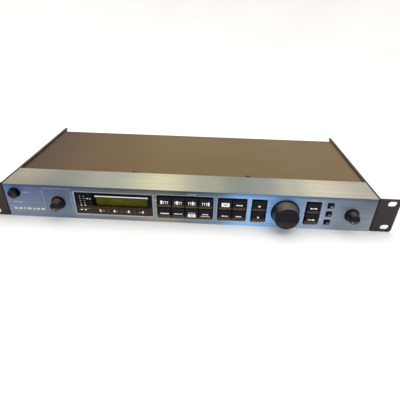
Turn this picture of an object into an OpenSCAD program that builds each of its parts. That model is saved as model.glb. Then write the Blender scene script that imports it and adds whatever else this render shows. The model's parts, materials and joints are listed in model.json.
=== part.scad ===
// Rack effects unit, one rack space high, for a 19-inch rack.
//
// The frame: X runs to the right as seen from the front, Y runs from front to back and Z runs up.
// The origin is the middle of the four rack slots, in the plane where the ears meet the rack rails.

/* [Rack format] */
// Overall width across the two ears
rack_w = 482.6; // [482:0.1:484]
// Height of the unit, one rack space
unit_h = 44; // [43.8:0.1:44.4]
// Distance between the left and right slot columns
slot_pitch_x = 465.1; // [464.8:0.1:465.4]
// Distance between the upper and lower slots
slot_pitch_z = 31.75; // [31.5:0.05:32]
// Height of a slot
slot_h = 6.8; // [6.4:0.1:7.1]
// Length of a slot along X
slot_l = 10.3; // [9:0.1:11]
// Radius of the outer corners of an ear
ear_corner_r = 3; // [1:0.5:3.5]

/* [Case] */
// Outer width of the case between the ears
body_w = 436; // [434:0.5:438]
// Depth of the side plates behind the rack rails
side_depth = 192; // [191:1:230]
// Depth of the closed case, up to the outside of the rear panel
case_depth = 181; // [180:1:182]
// Thickness of the steel side plates and ears
side_t = 2; // [1.5:0.1:2.2]
// Outer radius of the bend from a side plate into its ear
ear_bend_r = 2.5; // [2.3:0.1:3]
// Width of the flange along the top of a side plate, from the outside
side_flange_w = 3.4; // [3:0.1:4]
// Thickness of the cover, rear panel and bottom plate
sheet_t = 1.2; // [1:0.1:1.4]

/* [Front panel] */
// Width of the aluminium front panel
panel_w = 430.8; // [430:0.1:431]
// Thickness of the aluminium
panel_t = 2; // [1.8:0.1:2.2]
// Depth of the panel's top strip
strip_depth = 41.3; // [40:0.1:42]
// Radius of the edge between the face and the strip
panel_edge_r = 1.2; // [0.8:0.1:1.6]
// How far the face stands in front of the ears
panel_proud = 0.5; // [0.3:0.1:0.8]

/* [Controls] */
// Height of the row of controls over the middle of the unit
row_z = -0.5; // [-0.8:0.1:0]
// Distance between two keys of a block along X
key_pitch_x = 16; // [15.8:0.1:16.1]
// Distance between two keys of a block along Z
key_pitch_z = 14.6; // [14.4:0.1:14.8]
// Gap between two keys
key_gap = 0.6; // [0.4:0.1:0.8]
// Gap between a block of keys and the edge of its cut-out
key_margin = 0.95; // [0.7:0.05:1]
// How far a key stands in front of the panel
key_proud = 1.2; // [1:0.1:1.5]
// Travel of a key
key_travel = 0.6; // [0.4:0.1:0.6]
// Width of a small square button
small_key_w = 5.5; // [5:0.1:5.7]
// Distance between two small buttons
small_key_pitch = 11.25; // [10:0.25:12]
// Radius of the power button
power_r = 5.6; // [5:0.1:5.8]
// How far the power button stands in front of the panel
power_proud = 6; // [4:0.5:7]
// Base radius of a level knob
knob_r = 8.2; // [7.5:0.1:8.5]
// Length of a level knob
knob_l = 11; // [10:0.5:12]
// Base radius of the data dial
dial_r = 16.5; // [15:0.5:17]
// Length of the data dial
dial_l = 15.5; // [14:0.5:17]

/* [Display] */
// Width of the display window
window_w = 91.6; // [90:0.1:92]
// Height of the display window
window_h = 29.3; // [28:0.1:30]
// Width of the visible part of the LCD
lcd_w = 61; // [58:0.5:62]
// Height of the visible part of the LCD
lcd_h = 14; // [11:0.5:14]

/* [Hidden] */
$fn = 48;
e = 0.5;             // how far a cutting tool runs past the face it cuts
fit = 0.05;          // radial clearance of a running fit
seam = 0.2;          // gap between two sheets that are fitted side by side
m3_r = 1.45;         // shank radius of an M3 screw
m3_hole_r = 1.6;     // clearance hole
m3_tapped_r = 1.5;   // tapped hole, at the screw's outer radius
m3_head_r = 2.75;
m3_head_h = 1.6;

// The case
side_out = body_w / 2;
side_in = side_out - side_t;
sheet_half = side_in - seam;
z_top = unit_h / 2;
z_bottom = -unit_h / 2;
face_y = -side_t - panel_proud;
face_back = face_y + panel_t;
strip_back = face_y + strip_depth;
cover_top = z_top - panel_t;
cover_under = cover_top - sheet_t;
floor_top = z_bottom + sheet_t;
rear_in = case_depth - sheet_t;
cover_front = 30;         // the cover starts under the strip
rear_flange_z = 12;       // the cover's rear flange comes down to here
floor_flange_z = -13;     // and the bottom plate's comes up to here
side_screw_z = -15;
side_screw_y = [45, 100, 155];
rear_screw_x = [-205, -85, 85, 205];
rear_screw_z = [-17, 15.4];
rail_y = [30, 52];
rail_bottom = 2;
rail_screw_y = 41;
rail_screw_z = 8;
cover_screw_x = 72;
cover_screw_y = 44.5;
tab_x = 211;              // inner edge of the tabs that hold the front panel
tab_y = [2.2, 4.2];
tab_z = [-17, -6];
boss_x = 213.2;
boss_z = -12;

// The controls along the front
power_x = -203.4;
power_z = 11;
input_x = -153.3;
output_x = 190.2;
dial_x = 113.4;
window_x = -87.7;
select_x = -3.35;
menu_x = 51.8;
arrow_x = 82.95;
enter_x = 145;
small_key_x = 164;
board_y = 10.5;           // front face of the front board
board_t = 1.6;
bush_r = 3.5;
bush_front = -5;
shaft_r = 3;
shaft_back = 9;
nut_t = 2;
nut_r = 5.8;
frame_y = [face_back, 3.5];
pocket_back = 1.5;        // the keys' pockets in the key frame end here
key_back = 0.8;
neck = [9, 8];            // the part of a key that runs in the key frame
small_neck = [3.5, 3.5];
knob_base = face_y - 0.5;
stem_r = 2;               // the power button's stem
neck_back = 5.6;
switch_front = 7;         // front of the tactile switches
switch_tag_x = [power_x - 4, power_x + 4];
switch_tag_y = 25;        // the wires meet the mains switch's two tags here
standoff_front_x = [-161.5, 98, 200];
standoff_front_z = 13;

// The LCD stands behind the window
lcd_x = -79.15;
lcd_z = -1.1;
lcd_front = 2.4;
lcd_back = 6;
meter_x = [-128, -122.5];

// The boards inside
main_board = [[-60, 205], [34, 178]];
power_board = [[-190, -75], [48, 125]];
board_z = -12;            // top of both boards
main_standoffs = [[-54, 42], [-54, 140], [75, 90], [199, 42], [199, 140]];
power_standoffs = [[-185, 53], [-185, 120], [-80, 53], [-80, 120]];

// The connectors on the rear panel, where X still runs as seen from the front
inlet_x = -180;
pedal_x = -46;
midi_x = [-18, 6, 30];
rca_x = [58, 74];
line_x = [100, 122, 150, 172];
jack_x = concat([pedal_x], line_x);
jack_nose_r = 4.5;
jack_bore_r = 3.225;      // takes a 6.35 mm plug
jack_mouth = case_depth + 4.5;
jack_depth = 30;
midi_nose_r = 7.5;
rca_nose_r = 4.15;
inlet_body = [27.6, 19.8];
inlet_back = 160;
inlet_cavity = [24.4, 16.6];
inlet_depth = 17;
inlet_face = case_depth + 3;
pin_x = [-7, 0, 7];
pin_z = [-2, 2, -2];
pin_back = 155;

KEYS_4 = [1, 2, 3, 4];
KEYS_3 = [1, 2, 3];

// ---- Shared shapes ----

// A block between two corners, given as three ranges
module block(x, y, z) {
    translate([x[0], y[0], z[0]]) cube([x[1] - x[0], y[1] - y[0], z[1] - z[0]]);
}

// A cylinder along X, Y or Z through a range
module rod_x(r, x, y, z) {
    translate([x[0], y, z]) rotate([0, 90, 0]) cylinder(r = r, h = x[1] - x[0]);
}

module rod_y(r, x, y, z) {
    translate([x, y[1], z]) rotate([90, 0, 0]) cylinder(r = r, h = y[1] - y[0]);
}

module rod_z(r, x, y, z) {
    translate([x, y, z[0]]) cylinder(r = r, h = z[1] - z[0]);
}

// A turned shape whose own axis points out of the front, from its base at y
module turned(x, y, z, outline) {
    translate([x, y, z]) rotate([90, 0, 0]) rotate_extrude() polygon(outline);
}

// A plate along X and Z with rounded corners
module rounded_plate(x, y, z, r) {
    block([x[0] + r, x[1] - r], y, z);
    block(x, y, [z[0] + r, z[1] - r]);
    for (cx = [x[0] + r, x[1] - r], cz = [z[0] + r, z[1] - r]) rod_y(r, cx, y, cz);
}

// A slot with round ends, cut along Y
module slot(x, y, z) {
    half = (slot_l - slot_h) / 2;
    block([x - half, x + half], y, [z - slot_h / 2, z + slot_h / 2]);
    for (side = [-1, 1]) rod_y(slot_h / 2, x + side * half, y, z);
}

function around(c, w) = [c - w / 2, c + w / 2];

// Middle of key i of n along an axis, with the block of keys centred on c
function key_at(c, i, n, pitch) = c + (i - (n + 1) / 2) * pitch;

function block_w(columns) = columns * key_pitch_x - key_gap + 2 * key_margin;
function block_h(rows) = rows * key_pitch_z - key_gap + 2 * key_margin;

// The cut-outs of the blocks of keys
module key_cutouts(y) {
    for (b = [[select_x, 4], [menu_x, 2], [arrow_x, 1], [enter_x, 1]])
        block(around(b[0], block_w(b[1])), y, around(row_z, block_h(2)));
    for (i = KEYS_3)
        block(around(small_key_x, small_key_w + 2 * key_gap), y,
              around(small_key_z(i), small_key_w + 2 * key_gap));
}

function small_key_z(i) = key_at(row_z, 4 - i, 3, small_key_pitch);

// Places of all the keys: x, z and the size of the neck
KEY_PLACES = concat(
    [for (b = [[select_x, 4], [menu_x, 2], [arrow_x, 1], [enter_x, 1]], i = [1 : b[1]], row = [1, 2])
        [key_at(b[0], i, b[1], key_pitch_x), key_at(row_z, row, 2, key_pitch_z), neck]],
    [for (i = KEYS_3) [small_key_x, small_key_z(i), small_neck]]
);

// ---- Case ----

module front_panel() color([0.55, 0.6, 0.68]) {
    half = panel_w / 2;
    x = [-half, half];
    difference() {
        union() {
            block(x, [face_y, face_back], [z_bottom, z_top - panel_edge_r]);
            block(x, [face_y + panel_edge_r, strip_back], [z_top - panel_t, z_top]);
            rod_x(panel_edge_r, x, face_y + panel_edge_r, z_top - panel_edge_r);
            for (side = [-1, 1]) rod_y(2.2, side * boss_x, [face_back, tab_y[0]], boss_z);
        }
        for (side = [-1, 1])
            rod_y(m3_tapped_r, side * boss_x, [face_back, tab_y[0] + e], boss_z);
        through = [face_y - e, face_back + e];
        rod_y(power_r + 0.5, power_x, through, power_z);
        for (cx = [input_x, output_x, dial_x]) rod_y(bush_r + 2 * fit, cx, through, row_z);
        block(around(window_x, window_w), through, around(row_z, window_h));
        key_cutouts(through);
    }
}

// The right-hand side plate, its ear and the flange along its top
module side_plate() {
    difference() {
        union() {
            block([side_in, side_out], [ear_bend_r - side_t, side_depth], [z_bottom, z_top]);
            block([side_out - side_flange_w, side_in], [strip_back + 0.3, side_depth],
                  [cover_top, z_top]);
            rounded_plate([side_in + ear_bend_r, rack_w / 2], [-side_t, 0],
                          [z_bottom, z_top], ear_corner_r);
            block([side_in + ear_bend_r, rack_w / 2 - ear_corner_r], [-side_t, 0],
                  [z_bottom, z_top]);
            ear_bend();
            block([tab_x, side_in], tab_y, tab_z);
        }
        for (side = [-1, 1])
            slot(slot_pitch_x / 2, [-side_t - e, e], side * slot_pitch_z / 2);
        for (y = side_screw_y) rod_x(m3_hole_r, [side_in - e, side_out + e], y, side_screw_z);
        rod_x(m3_hole_r, [side_in - e, side_out + e], rail_screw_y, rail_screw_z);
        rod_y(m3_hole_r, boss_x, [tab_y[0] - e, tab_y[1] + e], boss_z);
    }
}

// The quarter bend between a side plate and its ear
module ear_bend() {
    bend_x = side_in + ear_bend_r;
    bend_y = ear_bend_r - side_t;
    intersection() {
        difference() {
            rod_z(ear_bend_r, bend_x, bend_y, [z_bottom, z_top]);
            rod_z(ear_bend_r - side_t, bend_x, bend_y, [z_bottom - e, z_top + e]);
        }
        block([side_in - e, bend_x], [-side_t - e, bend_y], [z_bottom, z_top]);
    }
}

module right_side_plate() color([0.22, 0.21, 0.2]) side_plate();

module left_side_plate() color([0.22, 0.21, 0.2]) mirror([1, 0, 0]) side_plate();

module bottom_plate() color([0.45, 0.45, 0.44]) difference() {
    union() {
        block([-sheet_half, sheet_half], [face_back + seam, case_depth], [z_bottom, floor_top]);
        for (side = [0, 1]) mirror([side, 0, 0])
            block([sheet_half - sheet_t, sheet_half], [20, 170], [floor_top, -10]);
        block([-sheet_half + 4, sheet_half - 4], [rear_in - sheet_t, rear_in],
              [floor_top, floor_flange_z]);
    }
    for (side = [0, 1], y = side_screw_y) mirror([side, 0, 0])
        rod_x(m3_tapped_r, [sheet_half - sheet_t - e, sheet_half + e], y, side_screw_z);
    for (x = rear_screw_x)
        rod_y(m3_tapped_r, x, [rear_in - sheet_t - e, rear_in + e], rear_screw_z[0]);
}

module top_cover() color([0.5, 0.44, 0.36]) difference() {
    union() {
        block([-sheet_half, sheet_half], [cover_front, case_depth], [cover_under, cover_top]);
        block([-sheet_half + 4, sheet_half - 4], [rear_in - sheet_t, rear_in],
              [rear_flange_z, cover_under]);
    }
    for (side = [-1, 1])
        rod_z(m3_hole_r, side * cover_screw_x, cover_screw_y, [cover_under - e, cover_top + e]);
    for (x = rear_screw_x)
        rod_y(m3_tapped_r, x, [rear_in - sheet_t - e, rear_in + e], rear_screw_z[1]);
}

module rear_panel() color([0.25, 0.24, 0.23]) difference() {
    through = [rear_in - e, case_depth + e];
    block([-sheet_half, sheet_half], [rear_in, case_depth], [floor_top, cover_under]);
    for (x = rear_screw_x, z = rear_screw_z) rod_y(m3_hole_r, x, through, z);
    for (x = jack_x) rod_y(jack_nose_r + 2 * fit, x, through, row_z);
    for (x = midi_x) rod_y(midi_nose_r + 2 * fit, x, through, row_z);
    for (x = rca_x) rod_y(rca_nose_r + 2 * fit, x, through, row_z);
    block(around(inlet_x, inlet_body[0] + seam), through, around(row_z, inlet_body[1] + seam));
}

// The angle that joins the two side plates behind the front panel and carries the cover
module front_rail() color([0.62, 0.62, 0.6]) difference() {
    union() {
        block([-sheet_half, sheet_half], rail_y, [cover_under - sheet_t, cover_under]);
        block([-sheet_half, sheet_half], [rail_y[0], rail_y[0] + sheet_t],
              [rail_bottom, cover_under]);
        for (side = [0, 1]) mirror([side, 0, 0])
            block([sheet_half - sheet_t, sheet_half], rail_y, [rail_bottom, cover_under]);
    }
    for (side = [-1, 1])
        rod_z(m3_tapped_r, side * cover_screw_x, cover_screw_y,
              [cover_under - sheet_t - e, cover_under + e]);
    for (side = [0, 1]) mirror([side, 0, 0])
        rod_x(m3_tapped_r, [sheet_half - sheet_t - e, sheet_half + e], rail_screw_y, rail_screw_z);
}

// ---- Display ----

// The window fills its cut-out and has a rim behind the panel at the top and bottom
module display_window() color([0.03, 0.03, 0.035]) {
    block(around(window_x, window_w - 2 * seam), [face_y + 0.3, face_back + sheet_t],
          around(row_z, window_h - 2 * seam));
    block(around(window_x, window_w - 2 * seam), [face_back, face_back + sheet_t],
          around(row_z, window_h + 3));
}

module lcd_cell() color([0.33, 0.35, 0.08])
    block(around(lcd_x, lcd_w + 5), [lcd_front, lcd_back], around(lcd_z, lcd_h + 6));

// The metal frame holds the LCD against the front board
module lcd_frame() color([0.6, 0.6, 0.58]) difference() {
    lip = 0.6;
    inner_w = lcd_w + 5 + seam;
    inner_h = lcd_h + 6 + seam;
    block(around(lcd_x, inner_w + 2), [lcd_front - lip, board_y], around(lcd_z, inner_h + 2));
    block(around(lcd_x, inner_w), [lcd_front, board_y + e], around(lcd_z, inner_h));
    block(around(lcd_x, lcd_w), [lcd_front - lip - e, lcd_front + e], around(lcd_z, lcd_h));
}

// Two columns of meter lamps and a row of four status lamps under the LCD
module led_array() color([0.9, 0.9, 0.85]) {
    lamp_y = [board_y - 1.1, board_y];
    for (x = meter_x, i = [1 : 5])
        block(around(x, 2), lamp_y, around(key_at(2, i, 5, 3.2), 1.2));
    for (i = [1 : 4])
        block(around(key_at(lcd_x, i, 4, 15), 2), lamp_y, around(-13.5, 1.2));
}

// ---- Front electronics ----

module front_board() color([0.05, 0.3, 0.15]) difference() {
    board = [board_y, board_y + board_t];
    block([-165, 205], board, [-18, 17]);
    for (x = standoff_front_x, side = [-1, 1])
        rod_y(m3_hole_r, x, [board[0] - e, board[1] + e], side * standoff_front_z);
}

// One tactile switch with its plunger behind each key
module tact_switches() color([0.1, 0.1, 0.1]) for (k = KEY_PLACES) {
    block(around(k[0], 6), [switch_front, board_y], around(k[1], 6));
    rod_y(1.7, k[0], [neck_back + key_travel + fit, switch_front], k[1]);
}

// The moulded frames that guide the keys behind the panel
module key_frame() color([0.04, 0.04, 0.04]) difference() {
    union() for (x = [[-37.5, 93], [134.5, 170]]) block(x, frame_y, [-18, 17]);
    key_cutouts([frame_y[0] - e, pocket_back]);
    for (k = KEY_PLACES)
        block(around(k[0], k[2][0] + 2 * fit), [pocket_back - e, frame_y[1] + e],
              around(k[1], k[2][1] + 2 * fit));
}

// A panel-mounted control with a threaded bush and a bore for its shaft
module bushed_control(x, width, height, front) difference() {
    union() {
        block(around(x, width), [front, board_y], around(row_z, height));
        rod_y(bush_r, x, [bush_front, front], row_z);
    }
    rod_y(shaft_r + fit, x, [bush_front - e, shaft_back + fit], row_z);
}

module level_pots() color([0.35, 0.45, 0.4])
    for (x = [input_x, output_x]) bushed_control(x, 9.8, 12, 3);

module dial_encoder() color([0.3, 0.3, 0.32]) bushed_control(dial_x, 12, 12, 4);

module control_shaft(x, front) rod_y(shaft_r, x, [front, shaft_back], row_z);

module bush_nuts() color([0.75, 0.75, 0.72]) for (x = [input_x, dial_x, output_x])
    difference() {
        translate([x, face_y, row_z]) rotate([90, 0, 0]) cylinder(r = nut_r, h = nut_t, $fn = 6);
        rod_y(bush_r + fit, x, [face_y - nut_t - e, face_y + e], row_z);
    }

// The latching mains switch stands on a bracket behind the power button, in front of the rail
module power_switch() {
    body_y = [13, 29];
    body_z = around(power_z, 12);
    color([0.12, 0.12, 0.12]) difference() {
        union() {
            block(around(power_x, 14), body_y, body_z);
            for (x = switch_tag_x)
                block(around(x, 3), [switch_tag_y - 0.8, switch_tag_y], [row_z - 4, body_z[0] + e]);
        }
        rod_y(stem_r + fit, power_x, [body_y[0] - e, body_y[0] + 6], power_z);
    }
    color([0.6, 0.6, 0.58]) {
        block(around(power_x, 14), [18, 18 + sheet_t], [floor_top, body_z[0] - fit]);
        block(around(power_x, 14), [18, 36], [floor_top, floor_top + sheet_t]);
    }
}

// ---- Internals ----

module main_board() color([0.05, 0.3, 0.15]) board(main_board, main_standoffs);

module power_board() color([0.5, 0.4, 0.2]) board(power_board, power_standoffs);

module board(area, holes) difference() {
    z = [board_z - board_t, board_z];
    block(area[0], area[1], z);
    for (p = holes) rod_z(m3_hole_r, p[0], p[1], [z[0] - e, z[1] + e]);
}

// Signal processors, memory, converters and smaller parts: x, y, width, depth and height
module board_chips() color([0.08, 0.08, 0.09])
    for (c = [[10, 75, 28, 28, 3.4], [50, 75, 28, 28, 3.4], [-30, 80, 20, 20, 2.6],
              [10, 115, 14, 20, 2.2], [50, 115, 14, 20, 2.2], [100, 80, 22, 22, 2.6],
              [110, 125, 8, 10, 2], [136, 125, 8, 10, 2], [165, 125, 8, 10, 2],
              [-30, 120, 10, 16, 2], [150, 75, 14, 10, 4]])
        block(around(c[0], c[2]), around(c[1], c[3]), [board_z, board_z + c[4]]);

// A laminated core around a winding
module transformer() {
    x = -110;
    y = 72;
    color([0.35, 0.35, 0.36]) difference() {
        block(around(x, 42), around(y, 15), [board_z, board_z + 25]);
        block(around(x, 32), around(y, 15 + 2 * e), [board_z + 5, board_z + 20]);
    }
    color([0.75, 0.6, 0.15])
        block(around(x, 31), around(y, 30), [board_z + 5.5, board_z + 19.5]);
}

// x, y, radius and height
module capacitors() color([0.1, 0.12, 0.25])
    for (c = [[-168, 66, 9, 24], [-146, 66, 9, 24], [-168, 92, 6.3, 15], [-150, 92, 5, 13],
              [-150, 108, 5, 13], [-98, 108, 5, 13], [-84, 98, 4, 11]])
        rod_z(c[2], c[0], c[1], [board_z, board_z + c[3]]);

// An aluminium extrusion with upright fins
module heat_sink() color([0.6, 0.6, 0.62]) {
    x = [-135, -110];
    block(x, [112, 115], [board_z, board_z + 24]);
    for (i = [0 : 5]) block([x[0] + 4.7 * i, x[0] + 4.7 * i + 1.5], [100, 112],
                            [board_z, board_z + 24]);
}

module board_standoffs() color([0.78, 0.7, 0.45]) {
    for (p = concat(main_standoffs, power_standoffs)) difference() {
        rod_z(2.6, p[0], p[1], [floor_top, board_z - board_t]);
        rod_z(m3_tapped_r, p[0], p[1], [board_z - board_t - 5, board_z]);
    }
    for (x = standoff_front_x, side = [-1, 1]) difference() {
        rod_y(2.6, x, [face_back, board_y], side * standoff_front_z);
        rod_y(m3_tapped_r, x, [board_y - 5, board_y + e], side * standoff_front_z);
    }
}

// A flat cable from the back of the front board down to the main board
module ribbon_cable() color([0.6, 0.6, 0.62]) {
    x = around(40, 26);
    top = -5;
    turn = [44, -8];
    thick = 1;
    r = top - turn[1];
    block(x, [board_y + board_t, turn[0]], [top - thick, top]);
    block(x, [turn[0] + r - thick, turn[0] + r], [board_z, turn[1]]);
    intersection() {
        difference() {
            rod_x(r, x, turn[0], turn[1]);
            rod_x(r - thick, [x[0] - e, x[1] + e], turn[0], turn[1]);
        }
        block(x, [turn[0], turn[0] + r + e], [turn[1], top + e]);
    }
}

// The two wires from the inlet's live pins to the mains switch
module mains_wires() {
    color([0.35, 0.2, 0.1]) mains_wire(inlet_x + pin_x[0], switch_tag_x[0], 142);
    color([0.1, 0.2, 0.6]) mains_wire(inlet_x + pin_x[2], switch_tag_x[1], 134);
}

// A wire from a pin at x_from to the switch at x_to, crossing over at y with two round bends
module mains_wire(x_from, x_to, y) {
    r = 1.2;
    bend = 5;
    z = row_z + pin_z[0];
    rod_y(r, x_from, [y + bend, pin_back], z);
    rod_x(r, [x_to + bend, x_from - bend], y, z);
    rod_y(r, x_to, [switch_tag_y, y - bend], z);
    translate([x_from - bend, y + bend, z]) rotate([0, 0, -90])
        rotate_extrude(angle = 90) translate([bend, 0]) circle(r = r);
    translate([x_to + bend, y - bend, z]) rotate([0, 0, 90])
        rotate_extrude(angle = 90) translate([bend, 0]) circle(r = r);
}

// ---- Rear connectors ----

// A three-pole inlet with a screw flange
module mains_inlet() color([0.06, 0.06, 0.06]) difference() {
    union() {
        block(around(inlet_x, inlet_body[0]), [inlet_back, inlet_face],
              around(row_z, inlet_body[1]));
        rounded_plate(around(inlet_x, 48), [case_depth, inlet_face], around(row_z, 23), 3);
    }
    // Two corners of the cavity are cut off, so that a plug goes in only one way up.
    difference() {
        block(around(inlet_x, inlet_cavity[0]), [inlet_face - inlet_depth, inlet_face + e],
              around(row_z, inlet_cavity[1]));
        for (side = [-1, 1])
            translate([inlet_x + side * inlet_cavity[0] / 2, inlet_face - inlet_depth - e,
                       row_z + inlet_cavity[1] / 2])
                rotate([0, 45, 0]) translate([-2.5, 0, -2.5]) cube([5, inlet_depth + 3 * e, 5]);
    }
    for (i = [0 : 2])
        block(around(inlet_x + pin_x[i], 2 + 2 * fit),
              [inlet_back - e, inlet_face - inlet_depth + e],
              around(row_z + pin_z[i], 4 + 2 * fit));
}

module inlet_pins() color([0.8, 0.78, 0.7]) for (i = [0 : 2])
    block(around(inlet_x + pin_x[i], 2), [pin_back, inlet_face - 2],
          around(row_z + pin_z[i], 4));

// A five-pin socket: the plug's shell goes in the ring-shaped groove
module midi_sockets() color([0.08, 0.08, 0.08]) for (x = midi_x) difference() {
    face = case_depth + 1.5;
    groove = [5.7, 6.8];
    union() {
        block(around(x, 20), [rear_in - 12, rear_in], [board_z, row_z + 9.5]);
        rod_y(midi_nose_r, x, [rear_in, face], row_z);
    }
    difference() {
        rod_y(groove[1], x, [face - 8, face + e], row_z);
        rod_y(groove[0], x, [face - 8 - e, face + 2 * e], row_z);
    }
    for (a = [0 : 45 : 180])
        rod_y(0.8, x + 4 * cos(a), [face - 8, face + e], row_z + 4 * sin(a) - 1);
}

module rca_sockets() color([0.8, 0.78, 0.7]) for (x = rca_x) difference() {
    union() {
        block(around(x, 11), [rear_in - 11, rear_in], [board_z, row_z + 6]);
        rod_y(rca_nose_r, x, [rear_in, case_depth + 9.5], row_z);
    }
    rod_y(1.65, x, [case_depth + 0.5, case_depth + 9.5 + e], row_z);
}

module jack_sockets() color([0.1, 0.1, 0.1]) for (x = jack_x) difference() {
    union() {
        block(around(x, 15.5), [jack_mouth - jack_depth - 3, rear_in], [board_z, row_z + 7.5]);
        rod_y(jack_nose_r, x, [rear_in, jack_mouth], row_z);
    }
    rod_y(jack_bore_r, x, [jack_mouth - jack_depth, jack_mouth + e], row_z);
}

module socket_nuts() color([0.75, 0.75, 0.72]) for (x = jack_x) difference() {
    translate([x, case_depth + 2.2, row_z]) rotate([90, 0, 0])
        cylinder(r = 6.9, h = 2.2, $fn = 6);
    rod_y(jack_nose_r + fit, x, [case_depth - e, case_depth + 2.2 + e], row_z);
}

// ---- Fasteners ----

// A pan-head screw at the origin, with its head's seat at z = 0 and its shank along -Z
module m3_screw(length) {
    rod_z(m3_r, 0, 0, [-length, 0]);
    difference() {
        rod_z(m3_head_r, 0, 0, [0, m3_head_h]);
        rod_z(0.9, 0, 0, [m3_head_h - 0.8, m3_head_h + e]);
    }
}

module m3_screws() color([0.1, 0.1, 0.1]) {
    for (side = [-1, 1]) {
        for (y = side_screw_y) translate([side * side_out, y, side_screw_z])
            rotate([0, side * 90, 0]) m3_screw(6);
        translate([side * side_out, rail_screw_y, rail_screw_z])
            rotate([0, side * 90, 0]) m3_screw(6);
        translate([side * cover_screw_x, cover_screw_y, cover_top]) m3_screw(6);
        translate([side * boss_x, tab_y[1], boss_z]) rotate([-90, 0, 0]) m3_screw(4);
    }
    for (x = rear_screw_x, z = rear_screw_z)
        translate([x, case_depth, z]) rotate([-90, 0, 0]) m3_screw(5);
    for (x = standoff_front_x, side = [-1, 1])
        translate([x, board_y + board_t, side * standoff_front_z]) rotate([-90, 0, 0]) m3_screw(5);
    for (p = concat(main_standoffs, power_standoffs))
        translate([p[0], p[1], board_z]) m3_screw(6);
}

// ---- Moving controls ----

module power_button() color([0.05, 0.05, 0.05]) {
    rod_y(power_r, power_x, [face_y - power_proud, 3], power_z);
    rod_y(stem_r, power_x, [3, 15.5], power_z);
}

// A knob with a skirt, a recess for the bush nut and a blind bore for its shaft
module knob(x, length, outline, recess_r) color([0.05, 0.05, 0.05]) difference() {
    turned(x, knob_base, row_z, outline);
    rod_y(recess_r, x, [-5.5, knob_base + e], row_z);
    rod_y(shaft_r + 0.02, x, [knob_base - length + 1.5, knob_base], row_z);
}

// A level knob: a skirt, a short cone and a slightly tapered grip with a rounded front edge
knob_outline = concat(
    [[0, 0], [knob_r, 0], [knob_r, 1.4], [knob_r - 1.9, 3.2], [knob_r - 2.3, knob_l - 0.8]],
    [for (a = [0 : 30 : 90]) [knob_r - 3.1 + 0.8 * cos(a), knob_l - 0.8 + 0.8 * sin(a)]],
    [[0, knob_l]]
);

// The dial: its side curves in from the base, and its front edge is rounded
dial_outline = concat(
    [[0, 0], [dial_r, 0], [dial_r, 1.2]],
    [for (i = [1 : 6]) [dial_r - 2.6 * sin(15 * i), 1.2 + (dial_l - 3) * (1 - cos(15 * i))]],
    [for (a = [15 : 15 : 90]) [dial_r - 4.4 + 1.8 * cos(a), dial_l - 1.8 + 1.8 * sin(a)]],
    [[0, dial_l]]
);

module input_knob() knob(input_x, knob_l, knob_outline, 6.2);
module output_knob() knob(output_x, knob_l, knob_outline, 6.2);
module data_dial() knob(dial_x, dial_l, dial_outline, 8);
module input_shaft() color("silver") control_shaft(input_x, knob_base - knob_l + 2);
module output_shaft() color("silver") control_shaft(output_x, knob_base - knob_l + 2);
module dial_shaft() color("silver") control_shaft(dial_x, knob_base - dial_l + 2);

// A key: a cap in the cut-out and a neck that runs in the key frame
module key(x, z, size, proud, neck_size) color([0.05, 0.05, 0.055]) {
    block(around(x, size[0]), [face_y - proud, key_back], around(z, size[1]));
    block(around(x, neck_size[0]), [key_back, neck_back], around(z, neck_size[1]));
}

// Key number column of n in a block centred on x; row 2 is the upper one
module block_key(x, column, n, row) {
    key(key_at(x, column, n, key_pitch_x), key_at(row_z, row, 2, key_pitch_z),
        [key_pitch_x - key_gap, key_pitch_z - key_gap], key_proud, neck);
}

module small_button(i) {
    key(small_key_x, small_key_z(i), [small_key_w, small_key_w], key_proud + 0.6, small_neck);
}

front_panel();
left_side_plate();
right_side_plate();
bottom_plate();
top_cover();
rear_panel();
front_rail();
display_window();
lcd_cell();
lcd_frame();
led_array();
front_board();
tact_switches();
key_frame();
power_switch();
level_pots();
dial_encoder();
bush_nuts();
main_board();
board_chips();
power_board();
transformer();
capacitors();
heat_sink();
board_standoffs();
ribbon_cable();
mains_wires();
mains_inlet();
inlet_pins();
midi_sockets();
rca_sockets();
jack_sockets();
socket_nuts();
m3_screws();
power_button();
input_knob();
input_shaft();
output_knob();
output_shaft();
data_dial();
dial_shaft();
block_key(arrow_x, 1, 1, 2);  // up_key
block_key(arrow_x, 1, 1, 1);  // down_key
block_key(enter_x, 1, 1, 2);  // enter_key
block_key(enter_x, 1, 1, 1);  // exit_key
for (i = KEYS_4) {
    block_key(select_x, i, 4, 2);
    block_key(select_x, i, 4, 1);
    block_key(menu_x, (i + 1) % 2 + 1, 2, i < 3 ? 2 : 1);
}
for (i = KEYS_3)
    small_button(i);
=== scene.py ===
import json
import math

import bmesh
import bpy
from mathutils import Matrix, Vector


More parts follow.
